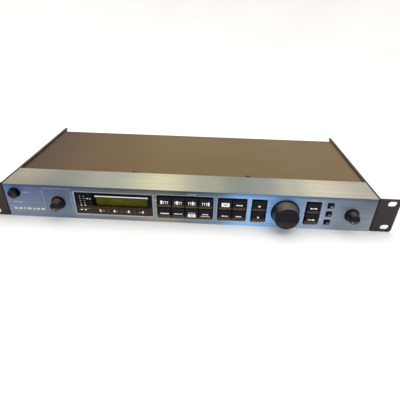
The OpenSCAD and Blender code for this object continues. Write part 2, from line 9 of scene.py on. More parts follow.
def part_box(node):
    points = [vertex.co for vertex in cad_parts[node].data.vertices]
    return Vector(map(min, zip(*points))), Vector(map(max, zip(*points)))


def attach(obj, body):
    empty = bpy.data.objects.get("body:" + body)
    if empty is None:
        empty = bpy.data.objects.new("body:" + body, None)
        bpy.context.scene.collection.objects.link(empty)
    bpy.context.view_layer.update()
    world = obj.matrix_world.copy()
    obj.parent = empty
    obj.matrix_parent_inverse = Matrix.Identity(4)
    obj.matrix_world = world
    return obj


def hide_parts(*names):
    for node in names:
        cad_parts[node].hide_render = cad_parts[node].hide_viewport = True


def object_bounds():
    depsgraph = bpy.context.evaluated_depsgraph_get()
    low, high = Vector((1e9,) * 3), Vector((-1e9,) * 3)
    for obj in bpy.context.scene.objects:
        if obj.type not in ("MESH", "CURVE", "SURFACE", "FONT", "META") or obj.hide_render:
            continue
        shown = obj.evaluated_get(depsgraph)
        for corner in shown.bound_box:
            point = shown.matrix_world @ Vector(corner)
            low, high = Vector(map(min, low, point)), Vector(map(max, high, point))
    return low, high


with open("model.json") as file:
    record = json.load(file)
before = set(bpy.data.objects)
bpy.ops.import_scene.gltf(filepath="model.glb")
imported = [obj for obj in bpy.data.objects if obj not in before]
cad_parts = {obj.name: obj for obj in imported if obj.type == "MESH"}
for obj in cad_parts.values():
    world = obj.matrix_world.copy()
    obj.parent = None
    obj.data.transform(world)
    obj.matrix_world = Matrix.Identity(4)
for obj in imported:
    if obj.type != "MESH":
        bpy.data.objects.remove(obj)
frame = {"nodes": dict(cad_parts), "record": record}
cad_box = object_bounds()

# Sizes are in millimetres up to the point where a mesh is made, and places come from the frame.
MM = 0.001
RECORD = frame["record"]
BODY_OF = {n: body for body, nodes in RECORD["behaviour"]["bodies"].items() for n in nodes}
PRINT_PROUD = 0.03      # how far ink stands on a surface
PRINT_ROOT = 0.2        # and how far its plates reach into it


# ---- Places ----

class Span:
    """A node's box at rest, in millimetres."""

    def __init__(self, node):
        low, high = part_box(node)
        self.x0, self.y0, self.z0 = low / MM
        self.x1, self.y1, self.z1 = high / MM
        self.x, self.y, self.z = (low + high) / 2 / MM
        self.w, self.d, self.h = (high - low) / MM


PANEL = Span("front_panel")
CASE_LOW, CASE_HIGH = (Vector(corner) / MM for corner in cad_box)
FACE_Y = PANEL.y0
REAR_Y = Span("rear_panel").y1
WINDOW = Span("display_window")
WINDOW_RAISED = WINDOW.h - 3.4      # height of the window's raised part, which fills the cut-out


# ---- Meshes ----

def rounded_rect(x, z, w, h, r, y, per_corner=4):
    """Points of an upright rounded rectangle centred on x and z at depth y."""
    points = []
    for quarter, (sx, sz) in enumerate(((1, 1), (-1, 1), (-1, -1), (1, -1))):
        cx, cz = x + sx * (w / 2 - r), z + sz * (h / 2 - r)
        for i in range(per_corner + 1):
            a = math.radians(90 * (quarter + i / per_corner))
            points.append(Vector((cx + r * math.cos(a), y, cz + r * math.sin(a))))
    return points


def ring(x, z, r, y, count):
    """Points of an upright circle centred on x and z at depth y."""
    angles = [2 * math.pi * i / count for i in range(count)]
    return [Vector((x + r * math.cos(a), y, z + r * math.sin(a))) for a in angles]


def skin(bm, loops, material=0, caps=(True, True)):
    """Joins loops of equal length into a tube and caps its two ends."""
    rows = [[bm.verts.new(p) for p in loop] for loop in loops]
    count = len(rows[0])
    faces = []
    for a, b in zip(rows, rows[1:]):
        for i in range(count):
            j = (i + 1) % count
            faces.append(bm.faces.new((a[i], a[j], b[j], b[i])))
    if caps[0]:
        faces.append(bm.faces.new(rows[0][::-1]))
    if caps[1]:
        faces.append(bm.faces.new(rows[-1]))
    for f in faces:
        f.material_index = material


def loop_skin(bm, loops, material=0):
    """Joins loops of equal length into a closed ring-shaped solid."""
    skin(bm, loops + loops[:1], material, caps=(False, False))


def turned(bm, x, z, base, outline, count, bands):
    """A turned solid that points out of the front: outline holds radius and distance from base.

    bands holds pairs of a distance from base and the material that faces have from there on."""
    before = set(bm.faces)
    skin(bm, [ring(x, z, r, base - d, count) for r, d in outline])
    for f in set(bm.faces) - before:
        place = base - f.calc_center_median().y
        for start, material in bands:
            if place >= start:
                f.material_index = material


def plate(bm, x, z, w, h, front, r=None, material=0, root=PRINT_ROOT):
    """A thin rounded bar of ink or inlay whose front face is at depth front."""
    r = min(w, h) * 0.45 if r is None else r
    skin(bm, [rounded_rect(x, z, w, h, r, y, 3) for y in (front, front + root)], material)


def frame_line(bm, x, z, w, h, r, line, front):
    """A thin line of ink around a rounded rectangle."""
    outer = (x, z, w, h, r)
    inner = (x, z, w - 2 * line, h - 2 * line, max(r - line, 0.05))
    loop_skin(bm, [rounded_rect(*box, y) for box, y in
                   ((outer, front), (outer, front + PRINT_ROOT),
                    (inner, front + PRINT_ROOT), (inner, front))])


def piece(name, bm, materials, node, replaced=None):
    """Makes an object in millimetres that rides with a CAD node's body and stands for it."""
    bmesh.ops.remove_doubles(bm, verts=bm.verts, dist=1e-5)
    bmesh.ops.recalc_face_normals(bm, faces=bm.faces)
    bmesh.ops.scale(bm, vec=(MM, MM, MM), verts=bm.verts)
    finished(name, bm, materials, node, replaced)


def finished(name, bm, materials, node, replaced):
    mesh = bpy.data.meshes.new(name)
    bm.to_mesh(mesh)
    bm.free()
    for material in materials:
        mesh.materials.append(material)
    mesh.shade_smooth()
    mesh.set_sharp_from_angle(angle=math.radians(35))
    obj = bpy.data.objects.new(name, mesh)
    bpy.context.scene.collection.objects.link(obj)
    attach(obj, BODY_OF[node])
    if replaced is not None:
        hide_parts(*replaced)
    return obj


def moving(node, bm, materials):
    """The piece that stands for a key, a button or a knob."""
    piece(node + "_cap", bm, materials, node, [node])


def refined(node, materials, width=0.2, pick=None, edge=-1, shape=None):
    """A copy of a CAD node with welded, flat and softly edged faces, which stands for the node.

    pick gives a face its material, shape changes the mesh before its edges are softened, and edge
    is the material that the rounded edges take."""
    bm = bmesh.new()
    bm.from_mesh(frame["nodes"][node].data)
    bmesh.ops.remove_doubles(bm, verts=bm.verts, dist=2e-6)
    bmesh.ops.dissolve_limit(bm, angle_limit=math.radians(0.6), verts=bm.verts, edges=bm.edges)
    bm.normal_update()
    for f in bm.faces:
        f.material_index = pick(f) if pick else 0
    if shape:
        shape(bm)
    bevel = finished(node + "_body", bm, materials, node, [node]).modifiers.new("soft_edges", "BEVEL")
    bevel.width = width * MM
    bevel.segments = 2
    bevel.limit_method = "ANGLE"
    bevel.angle_limit = math.radians(30)
    bevel.harden_normals = True
    bevel.material = edge


# ---- Material nodes ----

def make(tree, kind, inputs=None, **settings):
    """Adds a node; an input is a value, or a socket to link."""
    added = tree.nodes.new("ShaderNode" + kind)
    for key, value in settings.items():
        setattr(added, key, value)
    for key, value in (inputs or {}).items():
        if isinstance(value, bpy.types.NodeSocket):
            tree.links.new(value, added.inputs[key])
        else:
            added.inputs[key].default_value = value
    return added


def here(tree):
    """A point's place in the frame at rest, in metres."""
    return make(tree, "TexCoord").outputs["Object"]


def coordinate(tree, axis):
    return make(tree, "SeparateXYZ", {0: here(tree)}).outputs["XYZ".index(axis)]


def computed(tree, operation, a, b=0.0):
    """The result of a sum on one or two values or sockets."""
    return make(tree, "Math", {0: a, 1: b}, operation=operation).outputs[0]


def noise(tree, size, stretch=(1, 1, 1), detail=4.0, rough=0.55):
    """Noise with features about size millimetres across, drawn out along each axis by stretch."""
    scaled = make(tree, "Mapping", {"Vector": here(tree), "Scale": [1 / s for s in stretch]})
    return make(tree, "TexNoise", {"Vector": scaled.outputs[0], "Scale": 1 / (size * MM),
                                   "Detail": detail, "Roughness": rough}).outputs["Fac"]


def remap(tree, value, low, high, start=0.35, end=0.65):
    """Takes the range from start to end to the range from low to high."""
    return make(tree, "MapRange", {"Value": value, "From Min": start, "From Max": end,
                                   "To Min": low, "To Max": high}).outputs["Result"]


def mixed(tree, factor, a, b, mode="MIX"):
    """Mixes two colours, which are values or sockets."""
    added = make(tree, "Mix", {0: factor}, data_type="RGBA", blend_type=mode)
    for index, colour in ((6, a), (7, b)):
        if isinstance(colour, bpy.types.NodeSocket):
            tree.links.new(colour, added.inputs[index])
        else:
            added.inputs[index].default_value = (*colour, 1)
    return added.outputs[2]


def bumped(tree, height, depth, below=None):
    """A normal for a height from 0 to 1 that is depth millimetres high."""
    inputs = {"Height": height, "Distance": depth * MM, "Strength": 1.0}
    if below is not None:
        inputs["Normal"] = below
    return make(tree, "Bump", inputs).outputs["Normal"]


def along(tree, axis, stops):
    """A colour that changes smoothly along an axis; stops holds places in millimetres and colours."""
    first, last = stops[0][0], stops[-1][0]
    share = remap(tree, coordinate(tree, axis), 0, 1, first * MM, last * MM)
    ramp = make(tree, "ValToRGB", {"Fac": share})
    ramp.color_ramp.interpolation = "EASE"
    elements = ramp.color_ramp.elements
    while len(elements) < len(stops):
        elements.new(0.5)
    for element, (where, colour) in zip(elements, stops):
        element.position = (where - first) / (last - first)
        element.color = (*colour, 1)
    return ramp.outputs["Color"]


def blank(name, metallic=0.0, **sockets):
    """A material with one Principled shader; sockets are set by their names, with _ for a space."""
    material = bpy.data.materials.new(name)
    material.use_nodes = True
    tree = material.node_tree
    tree.nodes.clear()
    shader = make(tree, "BsdfPrincipled", {"Metallic": metallic})
    for key, value in sockets.items():
        shader.inputs[key.replace("_", " ")].default_value = value
    output = make(tree, "OutputMaterial")
    tree.links.new(shader.outputs[0], output.inputs[0])
    return material, tree, shader


def dress(tree, shader, colour, roughness, normal=None):
    tree.links.new(colour, shader.inputs["Base Color"])
    tree.links.new(roughness, shader.inputs["Roughness"])
    if normal is not None:
        tree.links.new(normal, shader.inputs["Normal"])


# In the makers of finishes below, dark and light are colours as they look on a screen.

def finish(name, dark, light, rough=(0.4, 0.5), grain=0.5, depth=0.004, blotch=25, stretch=(1, 1, 1),
           metallic=0.0, **sockets):
    """A surface whose colour and roughness vary in blotches, with a fine grain in its height."""
    material, tree, shader = blank(name, metallic, **sockets)
    cloud = noise(tree, blotch, stretch, 5)
    fine = noise(tree, grain, stretch, 3)
    share = remap(tree, computed(tree, "ADD", cloud, fine), 0, 1, 0.75, 1.25)
    colour = mixed(tree, share, srgb(*dark), srgb(*light))
    dress(tree, shader, colour, remap(tree, cloud, *rough), bumped(tree, fine, depth))
    return material


def brushed(name, tone, contrast, rough, depth=0.006, metallic=1.0):
    """Metal brushed along X: long streaks of two widths, in its colour, roughness and height.

    tone is a colour, or a function that adds nodes and returns their colour."""
    material, tree, shader = blank(name, metallic, Anisotropic=0.65)
    wide = noise(tree, 1.4, (90 / 1.4, 1, 1), 4)
    hair = noise(tree, 0.28, (90 / 0.6, 1, 1), 2)
    value = remap(tree, computed(tree, "ADD", wide, hair), 1 - contrast, 1 + contrast, 0.8, 1.2)
    grey = make(tree, "CombineColor", {0: value, 1: value, 2: value}).outputs[0]
    colour = mixed(tree, 1.0, grey, tone(tree) if callable(tone) else tone, "MULTIPLY")
    dress(tree, shader, colour, remap(tree, wide, *rough), bumped(tree, hair, depth))
    direction = make(tree, "CombineXYZ", {0: 1.0, 1: 0.0, 2: 0.0}).outputs[0]
    tree.links.new(direction, shader.inputs["Tangent"])
    return material


# ---- Finishes ----

def srgb(red, green, blue):
    """The linear colour of one that is given as it looks on a screen, from 0 to 255."""
    return tuple((v / 255 / 12.92) if v <= 10 else ((v / 255 + 0.055) / 1.055) ** 2.4
                 for v in (red, green, blue))


def tones(*stops):
    """Stops for along(): each is given as a place in millimetres and a colour on a screen."""
    return [(place, srgb(*colour)) for place, *colour in stops]


BLACK = (0, 0, 0)

# The anodised face runs from slate blue through grey to a clear blue and back, left to right, and its
# upper part is deeper than its lower part: both are painted reflections over the anodised colour.
FACE_HIGH_REFLECTION_TONES = tones(
    (-216, 84, 106, 148), (-150, 76, 89, 120), (-90, 80, 86, 93), (-30, 94, 96, 94), (0, 74, 84, 91),
    (30, 84, 102, 127), (62, 120, 160, 212), (95, 120, 164, 218), (150, 116, 132, 156),
    (216, 88, 97, 110))
FACE_LOW_REFLECTION_TONES = tones(
    (-216, 134, 140, 160), (-150, 118, 132, 148), (-90, 126, 130, 124), (-30, 156, 158, 149),
    (0, 129, 137, 144), (30, 124, 148, 165), (62, 157, 202, 248), (95, 153, 202, 255),
    (148, 166, 186, 214), (178, 138, 148, 162), (216, 147, 154, 166))
# The strip's broad bands of warm and cool silver are painted reflections.
STRIP_REFLECTION_TONES = tones(
    (-216, 147, 142, 128), (-150, 110, 115, 112), (-95, 131, 136, 129), (-32, 170, 170, 148),
    (20, 128, 134, 125), (62, 104, 114, 111), (90, 116, 123, 122), (120, 144, 149, 141),
    (152, 170, 167, 156), (216, 142, 144, 137))
# Painted light: the cover's brown darkens towards the left.
COVER_LIGHT_TONES = tones((-216, 66, 46, 34), (-120, 91, 70, 40), (-30, 102, 85, 52), (216, 104, 85, 59))


def face_reflection_tone(tree):
    """The face's colour, with painted reflections: one row of tones low down, one high up, and a painted
    shade line under the edge.
    """
    share = remap(tree, coordinate(tree, "Z"), 0, 1, PANEL.z0 * MM, (PANEL.z1 - 3) * MM)
    blend = mixed(tree, share, along(tree, "X", FACE_LOW_REFLECTION_TONES), along(tree, "X", FACE_HIGH_REFLECTION_TONES))
    # Painted shade: the face darkens into a line under the rounded edge.
    line = along(tree, "Z", [(17.8, (1, 1, 1)), (19, (0.82, 0.83, 0.86)), (20.4, (0.56, 0.57, 0.62)),
                             (PANEL.z1, (0.5, 0.51, 0.56))])
    return mixed(tree, 1.0, blend, line, "MULTIPLY")


def strip_reflection_tone(tree):
    # Painted reflections in bands along X.
    return along(tree, "X", STRIP_REFLECTION_TONES)


def edge_reflection_tone(tree):
    """The rounded edge's colour, which runs from the face's painted shade line up to the strip's painted
    reflections.
    """
    share = remap(tree, coordinate(tree, "Z"), 0, 1, (PANEL.z1 - 0.5) * MM, (PANEL.z1 - 0.1) * MM)
    return mixed(tree, share, face_reflection_tone(tree), strip_reflection_tone(tree))


def cover_paint():
    """Satin brown paint with a fine orange peel, faint long scuffs, a film of dust and painted light
    that darkens it to the left.
    """
    material, tree, shader = blank("brown_cover_paint", 0.0, Specular_IOR_Level=0.08)
    peel = noise(tree, 0.6, detail=2)
    cloud = noise(tree, 60, (2.5, 1, 1), 6)
    scuff = noise(tree, 1.2, (60, 1, 1), 2)
    dust = noise(tree, 0.35, detail=1)
    tone = along(tree, "X", COVER_LIGHT_TONES)
    worn = mixed(tree, remap(tree, cloud, 0, 0.2), tone, srgb(110, 92, 62))
    scuffed = mixed(tree, remap(tree, scuff, 0, 0.16, 0.62, 0.72), worn, srgb(136, 118, 88))
    colour = mixed(tree, remap(tree, dust, 0, 0.12, 0.64, 0.74), scuffed, srgb(168, 154, 126))
    dress(tree, shader, colour, remap(tree, cloud, 0.36, 0.48), bumped(tree, peel, 0.012))
    return material


def steel_paint(name, dark, light, chipped, rough=(0.42, 0.55), shine=0.32):
    """Dark satin paint with a fine orange peel and small bright nicks."""
    material, tree, shader = blank(name, Specular_IOR_Level=shine)
    peel = noise(tree, 0.5, detail=2)
    cloud = noise(tree, 22, detail=6)
    nick = noise(tree, 1.4, detail=3, rough=0.7)
    tone = mixed(tree, remap(tree, cloud, 0, 1), srgb(*dark), srgb(*light))
    colour = mixed(tree, remap(tree, nick, 0, 1, *chipped), tone, srgb(150, 146, 140))
    dress(tree, shader, colour, remap(tree, cloud, *rough), bumped(tree, peel, 0.01))
    return material


def moulded(name, dark, light, rough=(0.38, 0.5), texture=0.35, depth=0.006, painted_light=None, **sockets):
    """Moulded plastic with a spark-eroded texture and handling shine; stops along Z add painted light
    and reflections.
    """
    material, tree, shader = blank(name, **sockets)
    spark = noise(tree, texture, detail=2)
    cloud = noise(tree, 7, detail=5)
    colour = mixed(tree, remap(tree, cloud, 0, 1), srgb(*dark), srgb(*light))
    # Painted light and reflections along Z.
    if painted_light:
        colour = mixed(tree, 1.0, colour, along(tree, "Z", painted_light), "ADD")
    dress(tree, shader, colour, remap(tree, cloud, *rough), bumped(tree, spark, depth))
    return material


def control_face(node, warm_reflection, reach):
    """The front of a control, which turns from navy to a painted warm reflection at reach under its
    middle.
    """
    z = Span(node).z
    painted_light = tones((z - reach, *warm_reflection), (z - 0.6 * reach, *warm_reflection), (z - 0.1 * reach, *BLACK),
                  (z + reach, *BLACK))
    return moulded(node + "_face", (11, 15, 27), (17, 20, 31), (0.34, 0.44), 0.3, 0.004, painted_light,
                   Specular_IOR_Level=0.12)


def turned_plastic(node, shine, groove):
    """Satin plastic with fine rings around the axis that a node turns on, with a painted highlight
    towards its top.
    """
    material, tree, shader = blank(node + "_side", Specular_IOR_Level=0.22, Coat_Weight=0.08,
                                   Coat_Roughness=0.3)
    span = Span(node)
    centred = make(tree, "VectorMath", {0: here(tree), 1: (span.x * MM, 0, span.z * MM)},
                   operation="SUBTRACT").outputs[0]
    flat = make(tree, "VectorMath", {0: centred, 1: (1, 0.6, 1)}, operation="MULTIPLY").outputs[0]
    radius = make(tree, "VectorMath", {0: flat}, operation="LENGTH").outputs["Value"]
    wave = computed(tree, "SINE", computed(tree, "MULTIPLY", radius, 2 * math.pi / (groove * MM)))
    spark = noise(tree, 0.3, detail=2)
    cloud = noise(tree, 6, detail=5)
    plain = mixed(tree, remap(tree, cloud, 0, 1), srgb(12, 11, 12), srgb(22, 20, 20))
    r = span.h / 2
    # A painted highlight in the shine colour over the upper part.
    painted_highlight = along(tree, "Z", tones((span.z - r, *BLACK), (span.z + 0.35 * r, *BLACK),
                                  (span.z + 0.85 * r, *shine), (span.z + r, *shine)))
    colour = mixed(tree, 1.0, plain, painted_highlight, "ADD")
    rings = bumped(tree, remap(tree, wave, 0, 1, -1, 1), 0.004)
    dress(tree, shader, colour, remap(tree, cloud, 0.26, 0.36), bumped(tree, spark, 0.005, rings))
    return material


def smoked():
    """Glossy black acrylic with hairline scratches, finger marks and a painted warm reflection low down.
    """
    material, tree, shader = blank("window_mask", Specular_IOR_Level=0.08)
    smear = noise(tree, 9, (1, 1, 0.5), 5)
    hair = noise(tree, 0.25, (40, 1, 1), 2)
    base = along(tree, "Z", WINDOW_REFLECTION_TONES)
    colour = mixed(tree, remap(tree, hair, 0, 0.05, 0.66, 0.74), base, srgb(120, 118, 116))
    dress(tree, shader, colour, remap(tree, smear, 0.05, 0.16), bumped(tree, hair, 0.0006))
    return material


def clear_pane():
    """Clear acrylic: mostly open, with the same finger marks as the mask around it."""
    material, tree, shader = blank("window_clear", Alpha=0.05, Specular_IOR_Level=0.08)
    smear = noise(tree, 9, (1, 1, 0.5), 5)
    colour = mixed(tree, remap(tree, smear, 0, 1), srgb(14, 14, 18), srgb(34, 32, 30))
    dress(tree, shader, colour, remap(tree, smear, 0.03, 0.12))
    return material


def lcd_green():
    """An unlit olive LCD with its faint grid of dots, and a painted reflection that makes it paler along
    its lower edge.
    """
    material, tree, shader = blank("lcd_green", Specular_IOR_Level=0.12)
    upright = make(tree, "Mapping", {"Vector": here(tree), "Rotation": (math.pi / 2, 0, 0)}).outputs[0]
    dots = make(tree, "TexBrick", {
        "Vector": upright,
        "Scale": 1 / MM, "Brick Width": 0.55, "Row Height": 0.55, "Mortar Size": 0.03,
        "Color1": (1, 1, 1, 1), "Color2": (0.97, 0.97, 0.97, 1), "Mortar": (0.86, 0.86, 0.86, 1)},
        offset=0.0)
    cloud = noise(tree, 18, detail=3)
    tone = mixed(tree, remap(tree, cloud, 0, 0.1), along(tree, "Z", LCD_REFLECTION_TONES), srgb(110, 108, 30))
    colour = mixed(tree, 1.0, tone, dots.outputs["Color"], "MULTIPLY")
    dress(tree, shader, colour, remap(tree, cloud, 0.25, 0.35))
    return material


def solder_mask(name, mask, trace):
    """A circuit board: tracks under the mask in a jumble of straight runs, and a fine weave."""
    material, tree, shader = blank(name, Coat_Weight=0.3, Coat_Roughness=0.2)
    cells = make(tree, "TexVoronoi", {"Vector": here(tree), "Scale": 1 / (6 * MM)},
                 feature="F1", distance="CHEBYCHEV").outputs["Distance"]
    run = computed(tree, "PINGPONG", computed(tree, "MULTIPLY", cells, 9.0), 1.0)
    weave = noise(tree, 0.4, (3, 1, 1), 2)
    colour = mixed(tree, remap(tree, run, 0, 1, 0.45, 0.6), srgb(*mask), srgb(*trace))
    dress(tree, shader, colour, remap(tree, weave, 0.3, 0.42), bumped(tree, run, 0.02))
    return material


def laminated():
    """Stacked steel sheets, varnished, that show as lines across Y."""
    material, tree, shader = blank("core_laminations", 0.6)
    sheets = computed(tree, "PINGPONG", coordinate(tree, "Y"), 0.25 * MM)
    line = remap(tree, sheets, 0, 1, 0.02 * MM, 0.1 * MM)
    cloud = noise(tree, 6, detail=4)
    tone = mixed(tree, remap(tree, cloud, 0, 1), srgb(78, 74, 72), srgb(112, 104, 98))
    colour = mixed(tree, line, srgb(34, 30, 28), tone)
    dress(tree, shader, colour, remap(tree, cloud, 0.35, 0.5), bumped(tree, line, 0.05))
    return material


def ribbed():
    """A flat cable: one rib for each of its wires, side by side along X, and one red edge."""
    material, tree, shader = blank("ribbon_cable")
    half_pitch = 0.635 * MM
    across = coordinate(tree, "X")
    height = remap(tree, computed(tree, "PINGPONG", across, half_pitch), 0, 1, 0, half_pitch)
    edge = Span("ribbon_cable").x0 * MM
    red = remap(tree, across, 1, 0, edge + 1.2 * MM, edge + 1.3 * MM)
    cloud = noise(tree, 9, detail=3)
    grey = mixed(tree, remap(tree, cloud, 0, 1), srgb(168, 168, 172), srgb(190, 190, 192))
    colour = mixed(tree, red, grey, srgb(170, 44, 40))
    dress(tree, shader, colour, remap(tree, cloud, 0.4, 0.5), bumped(tree, height, 0.3))
    return material


# The window's tones: a painted warm reflection low down that fades to black higher up.
WINDOW_REFLECTION_TONES = tones((WINDOW.z0, 66, 48, 40), (-9, 58, 45, 37), (-4.6, 52, 42, 32), (-2.6, 24, 20, 20),
                     (3, 4, 5, 9), (WINDOW.z1, 3, 4, 8))
# The LCD's tones: a painted reflection, paler and browner low down.
LCD_REFLECTION_TONES = tones((-8.5, 76, 66, 50), (-6, 88, 82, 48), (-3.5, 91, 88, 27), (0, 86, 84, 5),
                  (8, 74, 72, 2))
# The lower part of each key is browner than its blue-black upper part: painted reflections.
KEY_REFLECTION_TONES = tones((-15, 86, 68, 44), (-12.2, 74, 58, 40), (-9.0, 4, 4, 5), (-0.75, 8, 13, 22),
                  (-0.5, 86, 70, 53), (2.0, 70, 58, 46), (4.2, 4, 4, 5), (14, 8, 13, 22))

ALUMINIUM_FACE = brushed("face_aluminium", face_reflection_tone, 0.2, (0.42, 0.54), metallic=0.45)
ALUMINIUM_STRIP = brushed("strip_aluminium", strip_reflection_tone, 0.14, (0.26, 0.36))
ALUMINIUM_EDGE = brushed("rounded_edge", edge_reflection_tone, 0.2, (0.4, 0.5), depth=0.002, metallic=0.45)
ALUMINIUM_CHAMFER = brushed("bright_chamfer", srgb(180, 186, 192), 0.2, (0.2, 0.3), depth=0.001)
EAR_PAINT = steel_paint("ear_paint", (34, 27, 26), (43, 35, 33), (0.78, 0.84))
# A near-black copy of the ear paint for the bend: painted shade.
BEND_SHADE = steel_paint("bend_painted_shade", (14, 13, 14), (20, 18, 19), (0.8, 0.86))
# A brown, almost shineless copy for the top of the flanges: painted light.
FLANGE_HIGHLIGHT = steel_paint("flange_painted_highlight", (48, 34, 25), (62, 46, 34), (0.8, 0.86), shine=0.05)
EAR_EDGE = steel_paint("worn_paint_edge", (66, 52, 46), (88, 72, 62), (0.6, 0.72), (0.3, 0.4))
COVER_PAINT = cover_paint()
COVER_EDGE = steel_paint("worn_cover_edge", (120, 102, 82), (150, 132, 108), (0.66, 0.76))
REAR_PAINT = steel_paint("rear_paint", (46, 44, 43), (56, 53, 51), (0.78, 0.84))
ZINC = finish("zinc_plate", (150, 152, 150), (186, 184, 172), (0.28, 0.42), 0.3, 0.003, 14,
              metallic=1.0)
NICKEL = finish("bright_nickel", (196, 194, 188), (224, 221, 214), (0.14, 0.26), 0.2, 0.001, 6,
                metallic=1.0)
BARE_ALUMINIUM = finish("drawn_aluminium", (178, 180, 182), (204, 205, 206), (0.3, 0.4), 0.25,
                        0.003, 8, (1, 12, 1), metallic=1.0)
BRASS = finish("turned_brass", (184, 146, 78), (212, 176, 104), (0.2, 0.32), 0.2, 0.002, 5,
               metallic=1.0)
SCREW_BLACK = finish("black_oxide", (30, 30, 32), (46, 45, 46), (0.3, 0.42), 0.2, 0.002, 4)
KEY_BLACK = moulded("key_plastic", (8, 8, 11), (14, 14, 16), (0.34, 0.46), 0.3, 0.004,
                    KEY_REFLECTION_TONES, Specular_IOR_Level=0.12)
SMALL_KEY_BLACK = moulded("small_key_plastic", (18, 16, 16), (28, 25, 23), (0.36, 0.46), 0.3,
                          Specular_IOR_Level=0.15)
# A brown square on each small button: a painted reflection.
SMALL_KEY_GLINT = moulded("small_key_painted_glint", (96, 84, 72), (116, 102, 88), (0.2, 0.3), 0.3)
PLASTIC = moulded("socket_plastic", (17, 17, 18), (26, 25, 26), (0.36, 0.48))
FRAME_PLASTIC = moulded("frame_plastic", (8, 8, 10), (13, 13, 15), (0.5, 0.6),
                        Specular_IOR_Level=0.15)
# Near-black and almost without shine, for knob skirts and key flanks: painted shade.
KNOB_SHADE_BLACK = moulded("knob_base", (3, 3, 5), (8, 8, 10), (0.4, 0.5), 0.3, 0.003,
                    Specular_IOR_Level=0.05)
# The warm colours given to the control fronts are painted reflections.
POWER_FACE = control_face("power_button", (48, 40, 32), 4.5)
LEVEL_FACE = control_face("input_knob", (80, 68, 56), 5.6)
DIAL_FACE = control_face("data_dial", (46, 36, 30), 13.5)
# The shine colours below are painted highlights on the tops of the controls.
POWER_SIDE = turned_plastic("power_button", (92, 76, 58), 0.5)
INPUT_SIDE = turned_plastic("input_knob", (74, 62, 48), 0.5)
OUTPUT_SIDE = turned_plastic("output_knob", (74, 62, 48), 0.5)
DIAL_SIDE = turned_plastic("data_dial", (84, 73, 58), 0.8)
WINDOW_MASK = smoked()
WINDOW_CLEAR = clear_pane()
LCD = lcd_green()
WHITE_PLASTIC = moulded("white_plastic", (214, 212, 206), (232, 230, 224), (0.3, 0.4), 0.3)
RED_PLASTIC = moulded("red_plastic", (150, 22, 20), (176, 36, 30), (0.3, 0.4), 0.3)
INK = finish("white_ink", (236, 236, 234), (252, 252, 250), (0.45, 0.55), 0.25, 0.001, 3)
GREY_INK = finish("grey_ink", (128, 126, 124), (152, 150, 146), (0.45, 0.55), 0.25, 0.001, 3)
PALE_INK = finish("pale_ink", (158, 167, 180), (184, 191, 203), (0.42, 0.52), 0.25, 0.001, 4)
BADGE_SILVER = brushed("badge_silver", srgb(208, 203, 196), 0.12, (0.2, 0.3), 0.001)
KNOB_MARK = finish("knob_mark", (150, 136, 118), (176, 160, 138), (0.4, 0.5), 0.2, 0.002, 2)
# A near-white bar that glows faintly: a painted highlight along the LCD frame's top edge.
GLOWING_BAR_HIGHLIGHT = finish("lcd_top_bar", (244, 238, 226), (254, 250, 240), (0.3, 0.4), 0.5, 0.002, 8,
                       Emission_Color=(1, 0.95, 0.86, 1), Emission_Strength=0.22)
LAMP = finish("lamp_lens", (150, 172, 120), (200, 206, 160), (0.12, 0.2), 0.3, 0.001, 2)
MASK_GREEN = solder_mask("green_board", (18, 82, 44), (44, 122, 70))
MASK_TAN = solder_mask("tan_board", (150, 118, 66), (178, 148, 92))
CHIP = finish("chip_package", (28, 28, 30), (42, 42, 44), (0.5, 0.6), 0.25, 0.004, 4)
CORE = laminated()
TAPE = finish("winding_tape", (196, 160, 40), (218, 184, 70), (0.3, 0.45), 0.8, 0.01, 6)
SLEEVE = finish("capacitor_sleeve", (24, 30, 62), (38, 46, 84), (0.2, 0.3), 0.6, 0.003, 6)
RIBBON = ribbed()
WIRE_BROWN = finish("brown_wire", (104, 62, 34), (124, 78, 46), (0.35, 0.45), 0.4, 0.004, 5)
WIRE_BLUE = finish("blue_wire", (40, 70, 148), (58, 92, 172), (0.35, 0.45), 0.4, 0.004, 5)


# ---- Case ----

CHAMFER = 0.42          # width of the bright chamfer around the face's openings
OPENINGS_X = 214        # the face's openings lie within this distance of its middle
OPENINGS_Z = 16         # and within this height over and under it
EDGE_R = 1.25           # radius of the bend between the face and the strip
STRIP_LOW = 15          # the strip is above this height
EAR_FLAT_X = 218.3      # where the bend of a side plate ends and its flat ear starts
COVER_TOP = Span("top_cover").z1


def middle_of(face):
    return face.calc_center_median() / MM


def panel_finish(face):
    """0 is the face and its back, 1 the strip and 2 the rounded edge between them."""
    height = middle_of(face).z
    if abs(face.normal.z) > 0.99 and height > STRIP_LOW:
        return 1
    return 2 if height > PANEL.z1 - EDGE_R and face.normal.y < -0.02 else 0


def chamfered(bm):
    """Cuts a bright chamfer around every opening in the face."""
    def on_opening(vert):
        return (abs(vert.co.y - FACE_Y * MM) < 1e-5 and abs(vert.co.x) < OPENINGS_X * MM
                and abs(vert.co.z) < OPENINGS_Z * MM)

    rim = [e for e in bm.edges
           if e.calc_face_angle(0) > math.radians(60) and all(on_opening(v) for v in e.verts)]
    cut = bmesh.ops.bevel(bm, geom=rim, offset=CHAMFER * MM, segments=1, affect="EDGES", material=3)
    for f in cut["faces"]:
        f.material_index = 3


def side_finish(face):
    """2 in the bend between a side plate and its ear, which is painted shade, 3 on top of the plate's
    flange, which is painted light, else 0.
    """
    place = middle_of(face)
    if abs(place.x) < EAR_FLAT_X and place.y < 0.5:
        return 2
    return 3 if place.z > COVER_TOP and abs(place.x) < EAR_FLAT_X else 0


